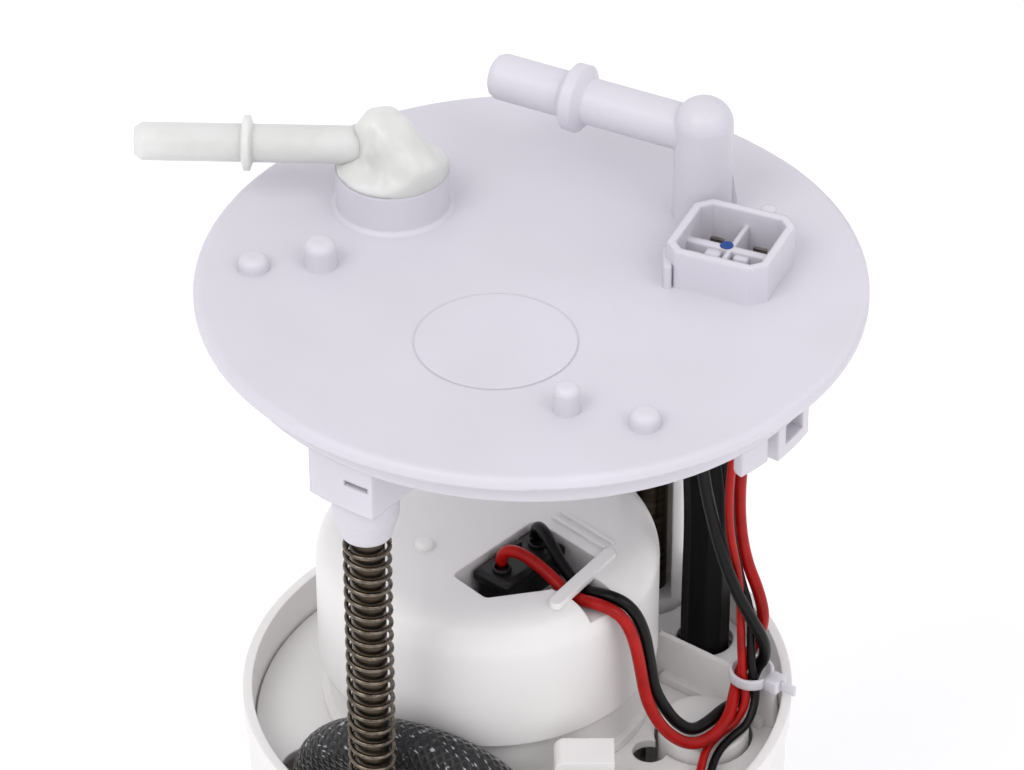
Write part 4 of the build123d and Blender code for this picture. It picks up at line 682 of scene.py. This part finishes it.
# ---- routes, in millimetres ---------------------------------------------------------
RETURN_HOSE_ROUTE = [
    (34.5, 22.0, -3.3),
    (34.5, 22.0, -34.5),
    (37.7, 22.3, -66.0),
    (37.2, 22.0, -98.0),
    (37.2, 22.0, -132.7),
]
WOVEN_HOSE_ROUTE = [
    (-45.6, -20.0, -126.0),
    (-45.4, -20.3, -107.0),
    (-38.5, -25.8, -95.4),
    (-27.0, -31.2, -92.0),
    (-14.0, -35.4, -94.2),
    (-4.5, -37.8, -101.8),
    (1.5, -39.8, -113.0),
    (10.0, -41.0, -122.5),
    (25.8, -37.1, -124.0),
    (32.38, -19.44, -124.0),
]
LEAD_ROUTES = {
    "pump_lead_red": [
        (-6.2, -5.6, -65.0),
        (-6.2, -5.6, -61.6),
        (-2.4, -7.0, -60.8),
        (3.0, -10.3, -63.4),
        (8.1, -14.7, -66.8),
        (14.0, -18.4, -65.6),
        (18.4, -19.4, -67.8),
        (20.8, -20.1, -73.1),
        (22.2, -20.7, -80.6),
        (23.2, -21.2, -87.3),
        (25.3, -21.8, -92.8),
        (28.5, -22.2, -97.3),
        (33.1, -21.8, -100.3),
        (37.8, -18.5, -100.4),
        (41.2, -13.0, -99.5),
        (42.4, -7.7, -96.9),
        (43.8, -4.4, -93.6),
        (46.4, -3.3, -88.4),
        (48.4, -3.0, -82.2),
        (47.2, -1.6, -76.1),
        (44.2, 0.8, -68.9),
        (42.7, 2.6, -59.0),
        (42.9, 3.6, -46.0),
    ],
    "pump_lead_black": [
        (0.9, 3.4, -65.0),
        (0.9, 3.4, -61.7),
        (3.0, -0.6, -61.2),
        (5.3, -5.4, -63.8),
        (10.0, -12.6, -66.7),
        (15.8, -16.2, -64.9),
        (20.3, -17.3, -67.1),
        (22.9, -17.9, -72.7),
        (24.1, -18.4, -80.3),
        (24.9, -19.0, -86.8),
        (27.1, -19.4, -91.7),
        (29.8, -19.2, -96.2),
        (33.0, -18.8, -98.8),
        (36.5, -15.0, -99.8),
        (40.2, -9.2, -100.6),
        (43.5, -6.4, -101.1),
        (45.2, -7.8, -97.5),
        (46.7, -5.2, -93.1),
        (48.8, -5.5, -89.8),
        (48.1, -6.5, -84.4),
        (45.1, -6.6, -78.4),
        (41.8, -5.7, -71.6),
        (38.9, -3.8, -63.6),
        (36.8, -1.8, -55.5),
        (34.9, -0.8, -46.0),
    ],
    "sender_lead_red": [
        (3.4, -62.9, -124.0),
        (3.4, -62.9, -119.2),
        (6.8, -63.4, -116.8),
        (12.6, -63.4, -115.7),
        (21.0, -61.4, -113.3),
        (28.6, -56.4, -109.6),
        (32.9, -50.8, -104.9),
        (31.6, -45.0, -102.4),
        (32.1, -38.6, -104.8),
        (33.4, -31.0, -105.6),
        (34.8, -24.4, -104.6),
        (36.1, -19.5, -102.8),
        (38.9, -15.1, -102.8),
        (42.4, -12.5, -102.0),
        (44.9, -10.5, -97.6),
        (43.9, -7.3, -93.2),
        (43.6, -6.4, -88.9),
        (43.3, -4.2, -79.9),
        (42.8, -3.2, -70.4),
        (40.5, -2.3, -59.5),
        (40.2, -2.5, -46.0),
    ],
    "sender_lead_black": [
        (0.8, -62.9, -124.0),
        (0.8, -62.9, -118.0),
        (4.8, -64.0, -114.4),
        (12.8, -64.8, -113.2),
        (23.2, -62.2, -111.4),
        (32.6, -57.2, -107.2),
        (36.6, -49.6, -103.8),
        (33.5, -43.9, -102.7),
        (34.4, -39.0, -105.0),
        (35.6, -31.6, -105.8),
        (36.8, -25.2, -104.7),
        (38.3, -20.6, -103.3),
        (41.1, -16.5, -102.8),
        (45.2, -13.5, -101.4),
        (46.9, -9.6, -96.5),
        (45.8, -7.5, -92.0),
        (45.5, -5.8, -87.4),
        (45.5, -3.2, -79.7),
        (43.3, -1.3, -72.8),
        (41.0, 0.2, -61.9),
        (40.2, 2.2, -50.0),
    ],
}
# The leads end upright under their terminals.
LEAD_SPOTS = {
    "pump_lead_red": (45.43, 4.10),
    "pump_lead_black": (33.57, -0.10),
    "sender_lead_red": (42.0, -3.78),
    "sender_lead_black": (37.0, 7.78),
}
LEAD_UPRIGHT = (-30.0, -14.0)

# ---- studio: place and disk size of each light, in metres -------------------------
LEFT_LIGHT = ((-1.3, -1.5, 2.1), 1.6)
RIGHT_LIGHT = ((1.4, -1.5, 1.9), 1.6)
LIGHT_TARGET = Vector((0, 0, -0.04))
FLOOR_HALF = 3.0

# ---- places of the small pieces, in metres -----------------------------------------
HOSE_RIDGE = 0.35 * MM
HOSE_SIDES = 72
OUTLET_CENTRE = Vector((-27.8, 25.8, 11.7)) * MM
BARREL_CENTRE = Vector((-29.5, 25.8, 11.7)) * MM
MOUND_NECK = 18.0 * MM
MOUND_OUTER = 11.35 * MM
MOUND_BULGE = 6.2 * MM
MOUND_BULGE_Z = 16.2 * MM
MOUND_BULGE_TALL = 5.0 * MM
MOUND_BULGE_TURN = math.radians(-42)
MOUND_BULGE_SPREAD = 0.8
MOUND_TURNS = 144
# Lumps of the melted bead, per metre: large ones, and small ones a quarter as high.
MOUND_LUMPS = 240
MOUND_GRAIN = 800
# Heights and radii of the melted bead from its top down, in metres.
MOUND_PROFILE = [
    (level * MM, reach * MM)
    for level, reach in (
        (24.9, 1.2),
        (24.7, 2.4),
        (24.2, 3.6),
        (23.4, 4.5),
        (22.4, 5.1),
        (21.2, 5.4),
        (20.0, 5.5),
        (18.8, 5.6),
        (17.6, 5.8),
        (16.6, 6.2),
        (15.6, 6.9),
        (14.7, 7.9),
        (13.9, 9.0),
        (13.2, 10.1),
        (12.6, 10.9),
        (12.1, 11.3),
        (11.7, 11.3),
        (11.6, 10.4),
    )
]
CONNECTOR_TURN = math.radians(-23.6)
SEAL_SPOT = Vector((38.7, 3.0, 6.0)) * MM
SEAL_TOP_Z = 8.25 * MM
SEAL_BORE = 0.1 * MM
SEAL_RADIUS = 1.35 * MM
KEY_POSTS = ((36.0, 1.9, 3.2), (41.6, 0.1, 3.2))
KEY_POST_SIZE = (3.2 * MM, 2.6 * MM, 8.6 * MM)
PLUG_CENTRE = Vector((-2.5, -3.2, -65.0)) * MM
PLUG_TURN = math.radians(49)
PLUG_LID_SIZE = (18.9 * MM, 9.4 * MM, 2.4 * MM)
PLUG_LATCH_SIZE = (7.0 * MM, 1.8 * MM, 1.2 * MM)
PLUG_WIRE_SHIFT = 5.6 * MM
PLUG_COLLAR = (1.35 * MM, 2.0 * MM, 1.6 * MM)
TIE_CENTRE = Vector((45.8, -5.9, -93.8)) * MM
TIE_OUTER = 4.75 * MM
TIE_STRAP = (0.8 * MM, 2.4 * MM)
TIE_TURN = math.radians(-36)
TIE_TAIL = 6.2 * MM
TIE_HEAD_SIZE = (3.2 * MM, 4.2 * MM, 3.0 * MM)
TIE_HEAD_REACH = 5.9 * MM
TIE_TEETH_START = 3.4 * MM
TIE_TEETH_MARGIN = 3.6 * MM
RIB_START = 13.0 * MM
RIB_FIRST = math.radians(42)
RIB_SWEEP = math.radians(276)
PIVOT = Vector((3.0, -68.6, -142.0)) * MM
TRACK_COUNT = 21
TRACK_MARGIN = 1.2 * MM
TRACK_SIZE = (0.36 * MM, 0.08 * MM, 6.2 * MM)
WIPER_SIZE = (1.6 * MM, 0.22 * MM, 7.5 * MM)


def rounded_ring(shape, centre, inner, outer, height, corner, steps=64):
    """Adds a band round a vertical axis, with its edges rounded by a corner radius."""
    profile = []
    middle = (inner + outer) / 2
    half_wall = (outer - inner) / 2 - corner
    half_height = height / 2 - corner
    for quarter, (side, level) in enumerate(((1, 1), (-1, 1), (-1, -1), (1, -1))):
        for part in range(4):
            angle = math.pi / 2 * (quarter + part / 3)
            spot = (
                middle + side * half_wall + corner * math.cos(angle),
                level * half_height + corner * math.sin(angle),
            )
            profile.append(spot)
    rings = []
    for step in range(steps):
        angle = math.tau * step / steps
        ring = []
        for radius, level in profile:
            spot = centre + Vector((radius * math.cos(angle), radius * math.sin(angle), level))
            ring.append(shape.verts.new(spot))
        rings.append(ring)
    count = len(profile)
    for step in range(steps):
        after = (step + 1) % steps
        for index in range(count):
            beside = (index + 1) % count
            near = (rings[step][index], rings[step][beside])
            far = (rings[after][beside], rings[after][index])
            shape.faces.new(near + far)


# ---- operators ---------------------------------------------------------------------


class PUMP_OT_finishes(bpy.types.Operator):
    """Gives every engineering solid the material of its slot"""

    bl_idname = "pump.finishes"
    bl_label = "Finishes of the solids"

    def execute(self, context):
        slots = {row["node"]: row["material_slot"] for row in frame["record"]["subparts"]}
        for name, solid in frame["nodes"].items():
            solid.data.materials.clear()
            solid.data.materials.append(finish_of(slots[name]))
        return {"FINISHED"}


class PUMP_OT_spring(bpy.types.Operator):
    """Makes the coil spring, with closed end turns, on the front guide rod"""

    bl_idname = "pump.spring"
    bl_label = "Guide spring"

    def execute(self, context):
        sizes = context.scene.pump_spring
        tree, start = new_tree(
            "coil_spring",
            [
                ("Radius", "NodeSocketFloat"),
                ("Wire Radius", "NodeSocketFloat"),
                ("Turns", "NodeSocketFloat"),
                ("Height", "NodeSocketFloat"),
                ("Sides", "NodeSocketInt"),
                ("Base", "NodeSocketVector"),
                ("Material", "NodeSocketMaterial"),
            ],
        )
        wire = add_node(
            tree,
            "GeometryNodeCurvePrimitiveCircle",
            {},
            {"Resolution": start.outputs["Sides"], "Radius": start.outputs["Wire Radius"]},
        )
        double = add_node(
            tree, "ShaderNodeMath", {"operation": "MULTIPLY", 1: 2.0}, {0: start.outputs["Wire Radius"]}
        )
        lift = add_node(tree, "ShaderNodeCombineXYZ", {}, {"Z": double.outputs[0]})
        main_base = add_node(
            tree, "ShaderNodeVectorMath", {"operation": "ADD"}, {0: start.outputs["Base"], 1: lift.outputs[0]}
        )
        rise = add_node(tree, "ShaderNodeCombineXYZ", {}, {"Z": start.outputs["Height"]})
        closed_high = add_node(
            tree, "ShaderNodeVectorMath", {"operation": "ADD"}, {0: main_base.outputs[0], 1: rise.outputs[0]}
        )
        joined = add_node(tree, "GeometryNodeJoinGeometry")
        for rotations, height, base in (
            (None, double.outputs[0], start.outputs["Base"]),
            (start.outputs["Turns"], start.outputs["Height"], main_base.outputs[0]),
            (None, double.outputs[0], closed_high.outputs[0]),
        ):
            links = {
                "Start Radius": start.outputs["Radius"],
                "End Radius": start.outputs["Radius"],
                "Height": height,
            }
            if rotations:
                links["Rotations"] = rotations
            spiral = add_node(tree, "GeometryNodeCurveSpiral", {"Resolution": 28, "Rotations": 1.0}, links)
            round_wire = add_node(
                tree,
                "GeometryNodeCurveToMesh",
                {"Fill Caps": True},
                {"Curve": spiral.outputs[0], "Profile Curve": wire.outputs[0]},
            )
            placed = add_node(
                tree, "GeometryNodeTransform", {}, {"Geometry": round_wire.outputs[0], "Translation": base}
            )
            tree.links.new(placed.outputs[0], joined.inputs[0])
        end_tree(tree, joined.outputs[0], start, smooth=True)
        length = SPRING_HIGH.z - SPRING_LOW.z
        active = length - 5 * sizes.wire
        values = {
            "Radius": (SPRING_HIGH.x - SPRING_LOW.x) / 2 - sizes.wire / 2,
            "Wire Radius": sizes.wire / 2,
            "Turns": float(round(active / sizes.pitch)),
            "Height": active,
            "Sides": sizes.sides,
            "Base": (SPRING_AXIS.x, SPRING_AXIS.y, SPRING_LOW.z + sizes.wire / 2),
            "Material": steel_spring(),
        }
        coil = run_tree("guide_spring", tree, values, values["Material"], "flange")
        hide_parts("spring_front")
        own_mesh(coil)
        return {"FINISHED"}


class PUMP_OT_hoses(bpy.types.Operator):
    """Makes the braided feed hose and the ridged rubber hose"""

    bl_idname = "pump.hoses"
    bl_label = "Hoses"

    def execute(self, context):
        sizes = context.scene.pump_hoses
        sleeve = tube("feed_sleeve", WOVEN_HOSE_ROUTE, [sizes.sleeve] * 40, sizes.bore)
        braid = finish_of("braided_sleeve")
        braided = add_object("feed_sleeve", sleeve, braid, "reservoir")
        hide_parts("woven_hose")
        section = []
        for side in range(HOSE_SIDES):
            ridge = abs(math.cos(sizes.ridges * math.pi * side / HOSE_SIDES)) ** 6
            section.append(sizes.rubber - HOSE_RIDGE * (1 - ridge))
        plain = tube("return_tube", RETURN_HOSE_ROUTE, section, sizes.bore)
        rubber = add_object("return_tube", plain, finish_of("black_rubber"), None)
        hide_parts("return_hose")
        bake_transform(rubber)
        return {"FINISHED"}


class PUMP_OT_leads(bpy.types.Operator):
    """Makes the four leads and the toothed tie that holds them"""

    bl_idname = "pump.leads"
    bl_label = "Leads and tie"

    def execute(self, context):
        sizes = context.scene.pump_leads
        for name, route in LEAD_ROUTES.items():
            radius = sizes.pump if name.startswith("pump") else sizes.sender
            slot = "red_insulation" if name.endswith("red") else "black_insulation"
            upright = [(*LEAD_SPOTS[name], height) for height in LEAD_UPRIGHT]
            mesh = tube(name + "_insulation", route + upright, [radius] * 16)
            lead = add_object(name + "_insulation", mesh, finish_of(slot), None)
            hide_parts(name)
            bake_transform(lead)
        shape = bmesh.new()
        strap, width = TIE_STRAP
        rounded_ring(shape, TIE_CENTRE, TIE_OUTER - strap, TIE_OUTER, width, 0.25 * MM)
        outward = Vector((math.cos(TIE_TURN), math.sin(TIE_TURN), 0))
        head = TIE_CENTRE + outward * TIE_HEAD_REACH
        rounded_block(shape, TIE_HEAD_SIZE, head, TIE_TURN, 0.5 * MM)
        tail = TIE_CENTRE + outward * (TIE_OUTER + TIE_TAIL / 2)
        rounded_block(shape, (TIE_TAIL, strap, width), tail, TIE_TURN, 0.2 * MM)
        tie_mesh = mesh_from("tie_strap", shape)
        tie = add_object("tie_strap", tie_mesh, finish_of("clear_nylon"), "reservoir")
        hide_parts("cable_tie")
        teeth = int((TIE_TAIL - TIE_TEETH_MARGIN) / sizes.tooth)
        side = Vector((-outward.y, outward.x, 0)) * (strap / 2)
        values = {
            "Count": teeth,
            "Start": tuple(TIE_CENTRE + outward * (TIE_OUTER + TIE_TEETH_START) + side),
            "Step": tuple(outward * sizes.tooth),
            "Size": (sizes.tooth * 0.45, 0.3 * MM, width * 0.6),
            "Turn": (0, 0, TIE_TURN),
            "Material": finish_of("clear_nylon"),
        }
        row = row_of_blocks("tie_teeth")
        run_tree("tie_teeth", row, values, values["Material"], "reservoir")
        return {"FINISHED"}


class PUMP_OT_flange_details(bpy.types.Operator):
    """Adds the melted bead of the outlet, the connector's blue seal and the ribs under the flange"""

    bl_idname = "pump.flange_details"
    bl_label = "Flange details"

    def execute(self, context):
        sizes = context.scene.pump_moulded
        shape = bmesh.new()
        foot = MOUND_PROFILE[-1][0]
        rings = []
        for level, reach in MOUND_PROFILE:
            rise = min(max((level - foot) / (MOUND_NECK - foot), 0), 1)
            axis = OUTLET_CENTRE.lerp(BARREL_CENTRE, rise)
            bulge = MOUND_BULGE * math.exp(-(((level - MOUND_BULGE_Z) / MOUND_BULGE_TALL) ** 2))
            ring = []
            for turn in range(MOUND_TURNS):
                angle = math.tau * turn / MOUND_TURNS
                aside = math.remainder(angle - MOUND_BULGE_TURN, math.tau)
                outward = Vector((math.cos(angle), math.sin(angle), 0))
                spot = axis + outward * (reach + bulge * math.exp(-((aside / MOUND_BULGE_SPREAD) ** 2)))
                spot.z = level
                lumps = noise.noise(spot * MOUND_LUMPS) * sizes.weld
                grain = noise.noise(spot * MOUND_GRAIN) * sizes.weld / 4
                spot += outward * (lumps + grain)
                from_centre = spot.xy - OUTLET_CENTRE.xy
                if from_centre.length > MOUND_OUTER:
                    spot.xy = OUTLET_CENTRE.xy + from_centre.normalized() * MOUND_OUTER
                ring.append(shape.verts.new(spot))
            rings.append(ring)
        for near, far in zip(rings, rings[1:]):
            for turn in range(MOUND_TURNS):
                after = (turn + 1) % MOUND_TURNS
                shape.faces.new((near[turn], far[turn], far[after], near[after]))
        shape.faces.new(rings[0])
        bmesh.ops.triangulate(shape, faces=shape.faces)
        mound = mesh_from("melted_mound", shape)
        add_object("melted_mound", mound, finish_of("natural_nylon"), "flange")

        shape = bmesh.new()
        middle = SEAL_SPOT.copy()
        middle.z = (SEAL_SPOT.z + SEAL_TOP_Z) / 2
        rounded_ring(shape, middle, SEAL_BORE, SEAL_RADIUS, SEAL_TOP_Z - SEAL_SPOT.z, 0.2 * MM, 24)
        seal = mesh_from("cavity_seal", shape)
        add_object("cavity_seal", seal, seal_blue(), "flange")

        shape = bmesh.new()
        for spot in KEY_POSTS:
            rounded_block(shape, KEY_POST_SIZE, Vector(spot) * MM, CONNECTOR_TURN, 0.5 * MM)
        posts = mesh_from("cavity_posts", shape)
        add_object("cavity_posts", posts, finish_of("white_acetal"), "flange")

        tree, start = new_tree(
            "rib_fan",
            [
                ("Count", "NodeSocketInt"),
                ("First", "NodeSocketFloat"),
                ("Step", "NodeSocketFloat"),
                ("Size", "NodeSocketVector"),
                ("Shift", "NodeSocketVector"),
                ("Material", "NodeSocketMaterial"),
            ],
        )
        points = add_node(
            tree, "GeometryNodeMeshLine", {"Offset": (0, 0, 0)}, {"Count": start.outputs["Count"]}
        )
        cube = add_node(tree, "GeometryNodeMeshCube", {}, {"Size": start.outputs["Size"]})
        shifted = add_node(
            tree,
            "GeometryNodeTransform",
            {},
            {"Geometry": cube.outputs[0], "Translation": start.outputs["Shift"]},
        )
        index = add_node(tree, "GeometryNodeInputIndex")
        angle = add_node(
            tree,
            "ShaderNodeMath",
            {"operation": "MULTIPLY_ADD"},
            {0: index.outputs[0], 1: start.outputs["Step"], 2: start.outputs["First"]},
        )
        turn = add_node(tree, "ShaderNodeCombineXYZ", {}, {"Z": angle.outputs[0]})
        fan = add_node(
            tree,
            "GeometryNodeInstanceOnPoints",
            {},
            {"Points": points.outputs[0], "Instance": shifted.outputs[0], "Rotation": turn.outputs[0]},
        )
        end_tree(tree, fan.outputs[0], start)
        length = REGISTER_INNER - RIB_START + 0.5 * MM
        values = {
            "Count": sizes.ribs,
            "First": RIB_FIRST,
            "Step": RIB_SWEEP / (sizes.ribs - 1),
            "Size": (length, sizes.rib_wall, sizes.rib_depth),
            "Shift": (RIB_START + length / 2, 0, -sizes.rib_depth / 2),
            "Material": finish_of("white_acetal"),
        }
        run_tree("flange_ribs", tree, values, values["Material"], "flange")
        return {"FINISHED"}


class PUMP_OT_plug_details(bpy.types.Operator):
    """Adds the lid, latch and wire collars of the plug in the cap's pocket"""

    bl_idname = "pump.plug_details"
    bl_label = "Pump plug details"

    def execute(self, context):
        along = Vector((math.cos(PLUG_TURN), math.sin(PLUG_TURN), 0))
        across = Vector((-along.y, along.x, 0))
        shape = bmesh.new()
        lid = PLUG_CENTRE - Vector((0, 0, 1.6 * MM))
        rounded_block(shape, PLUG_LID_SIZE, lid, PLUG_TURN, 0.7 * MM)
        latch = PLUG_CENTRE + across * 3.0 * MM + Vector((0, 0, 0.1 * MM))
        rounded_block(shape, PLUG_LATCH_SIZE, latch, PLUG_TURN, 0.35 * MM)
        for shift in (-PLUG_WIRE_SHIFT, PLUG_WIRE_SHIFT):
            collar = PLUG_CENTRE + along * shift - across * 0.1 * MM
            rounded_ring(shape, collar, *PLUG_COLLAR, 0.25 * MM, 32)
        lid_mesh = mesh_from("plug_lid", shape, smooth=False)
        add_object("plug_lid", lid_mesh, finish_of("black_nylon"), "reservoir")
        return {"FINISHED"}


class PUMP_OT_sender_details(bpy.types.Operator):
    """Adds the printed tracks of the resistor card and the wiper that touches them"""

    bl_idname = "pump.sender_details"
    bl_label = "Sender details"

    def execute(self, context):
        low, high = (Vector(corner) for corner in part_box("resistor_card"))
        ink = silver_ink()
        span = high.x - low.x - 2 * TRACK_MARGIN
        values = {
            "Count": TRACK_COUNT,
            "Start": (low.x + TRACK_MARGIN, low.y - 0.03 * MM, (low.z + high.z) / 2 + 0.6 * MM),
            "Step": (span / (TRACK_COUNT - 1), 0, 0),
            "Size": TRACK_SIZE,
            "Turn": (0, 0, 0),
            "Material": ink,
        }
        run_tree("resistor_tracks", row_of_blocks("resistor_tracks"), values, ink, "reservoir")
        shape = bmesh.new()
        strip = Vector((PIVOT.x, low.y - 0.42 * MM, PIVOT.z - 9.0 * MM))
        rounded_block(shape, WIPER_SIZE, strip, 0, 0.08 * MM, 2)
        wiper = mesh_from("wiper_strip", shape, smooth=False)
        add_object("wiper_strip", wiper, finish_of("tinned_brass"), "float")
        return {"FINISHED"}


class PUMP_OT_stage(bpy.types.Operator):
    """Sets the pale floor, the soft lights and the camera"""

    bl_idname = "pump.stage"
    bl_label = "Studio"

    def execute(self, context):
        sizes = context.scene.pump_studio
        shape = bmesh.new()
        bmesh.ops.create_grid(shape, x_segments=1, y_segments=1, size=FLOOR_HALF)
        bmesh.ops.translate(shape, verts=shape.verts, vec=(0, 0, FLOOR_Z))
        floor_mesh = bpy.data.meshes.new("floor")
        shape.to_mesh(floor_mesh)
        shape.free()
        floor = bpy.data.objects.new("floor", floor_mesh)
        context.scene.collection.objects.link(floor)
        # Matt white studio paper.
        paper, tree, shader = new_material("studio_paper", "FFFFFF", Roughness=0.9, Specular_IOR_Level=0.1)
        floor_mesh.materials.append(paper)

        world = bpy.data.worlds.new("studio")
        world.use_nodes = True
        back = world.node_tree.nodes["Background"]
        back.inputs["Color"].default_value = linear("FCFBFF")
        back.inputs["Strength"].default_value = sizes.sky
        context.scene.world = world
        for name, (place, size), power in (
            ("key", LEFT_LIGHT, sizes.key),
            ("fill", RIGHT_LIGHT, sizes.fill),
        ):
            light = bpy.data.lights.new(name, "AREA")
            light.shape = "DISK"
            light.size = size
            light.energy = power
            lamp = bpy.data.objects.new(name, light)
            lamp.location = place
            aim = LIGHT_TARGET - Vector(place)
            lamp.rotation_euler = aim.to_track_quat("-Z", "Y").to_euler()
            context.scene.collection.objects.link(lamp)

        eye = bpy.data.cameras.new("camera")
        eye.lens = sizes.lens
        eye.sensor_width = 36
        camera = bpy.data.objects.new("camera", eye)
        forward = Vector((0, math.cos(sizes.pitch), -math.sin(sizes.pitch)))
        right = Vector((1, 0, 0))
        up = right.cross(forward)
        turned_right = right * math.cos(sizes.roll) + up * math.sin(sizes.roll)
        turned_up = up * math.cos(sizes.roll) - right * math.sin(sizes.roll)
        facing = Matrix((turned_right, turned_up, -forward)).transposed().to_4x4()
        camera.matrix_world = Matrix.Translation(sizes.camera) @ facing
        eye.clip_start = 0.05
        eye.clip_end = 20
        context.scene.collection.objects.link(camera)
        context.scene.camera = camera
        context.scene.view_settings.view_transform = "Standard"
        return {"FINISHED"}


class PUMP_PT_panel(bpy.types.Panel):
    """Lists the sizes and the steps of the fuel pump module"""

    bl_idname = "PUMP_PT_panel"
    bl_label = "Fuel pump module"
    bl_space_type = "VIEW_3D"
    bl_region_type = "UI"
    bl_category = "Pump module"

    def draw(self, context):
        for name, group in GROUPS.items():
            settings = getattr(context.scene, name)
            for size in group.__annotations__:
                self.layout.prop(settings, size)
        for step in STEPS:
            self.layout.operator(step.bl_idname)


GROUPS = {
    "pump_spring": SpringSizes,
    "pump_hoses": HoseSizes,
    "pump_leads": LeadSizes,
    "pump_moulded": MouldedSizes,
    "pump_studio": StudioSizes,
}
STEPS = (
    PUMP_OT_stage,
    PUMP_OT_finishes,
    PUMP_OT_spring,
    PUMP_OT_hoses,
    PUMP_OT_leads,
    PUMP_OT_flange_details,
    PUMP_OT_plug_details,
    PUMP_OT_sender_details,
)


def register():
    for group in GROUPS.values():
        bpy.utils.register_class(group)
    for kind in (*STEPS, PUMP_PT_panel):
        bpy.utils.register_class(kind)
    for name, group in GROUPS.items():
        setattr(bpy.types.Scene, name, PointerProperty(type=group))


def unregister():
    for name in GROUPS:
        delattr(bpy.types.Scene, name)
    for kind in reversed((*STEPS, PUMP_PT_panel)):
        bpy.utils.unregister_class(kind)
    for group in GROUPS.values():
        bpy.utils.unregister_class(group)


def main():
    register()
    bpy.ops.pump.stage()
    bpy.ops.pump.finishes()
    bpy.ops.pump.spring()
    bpy.ops.pump.hoses()
    bpy.ops.pump.leads()
    bpy.ops.pump.flange_details()
    bpy.ops.pump.plug_details()
    bpy.ops.pump.sender_details()


if __name__ == "__main__":
    main()
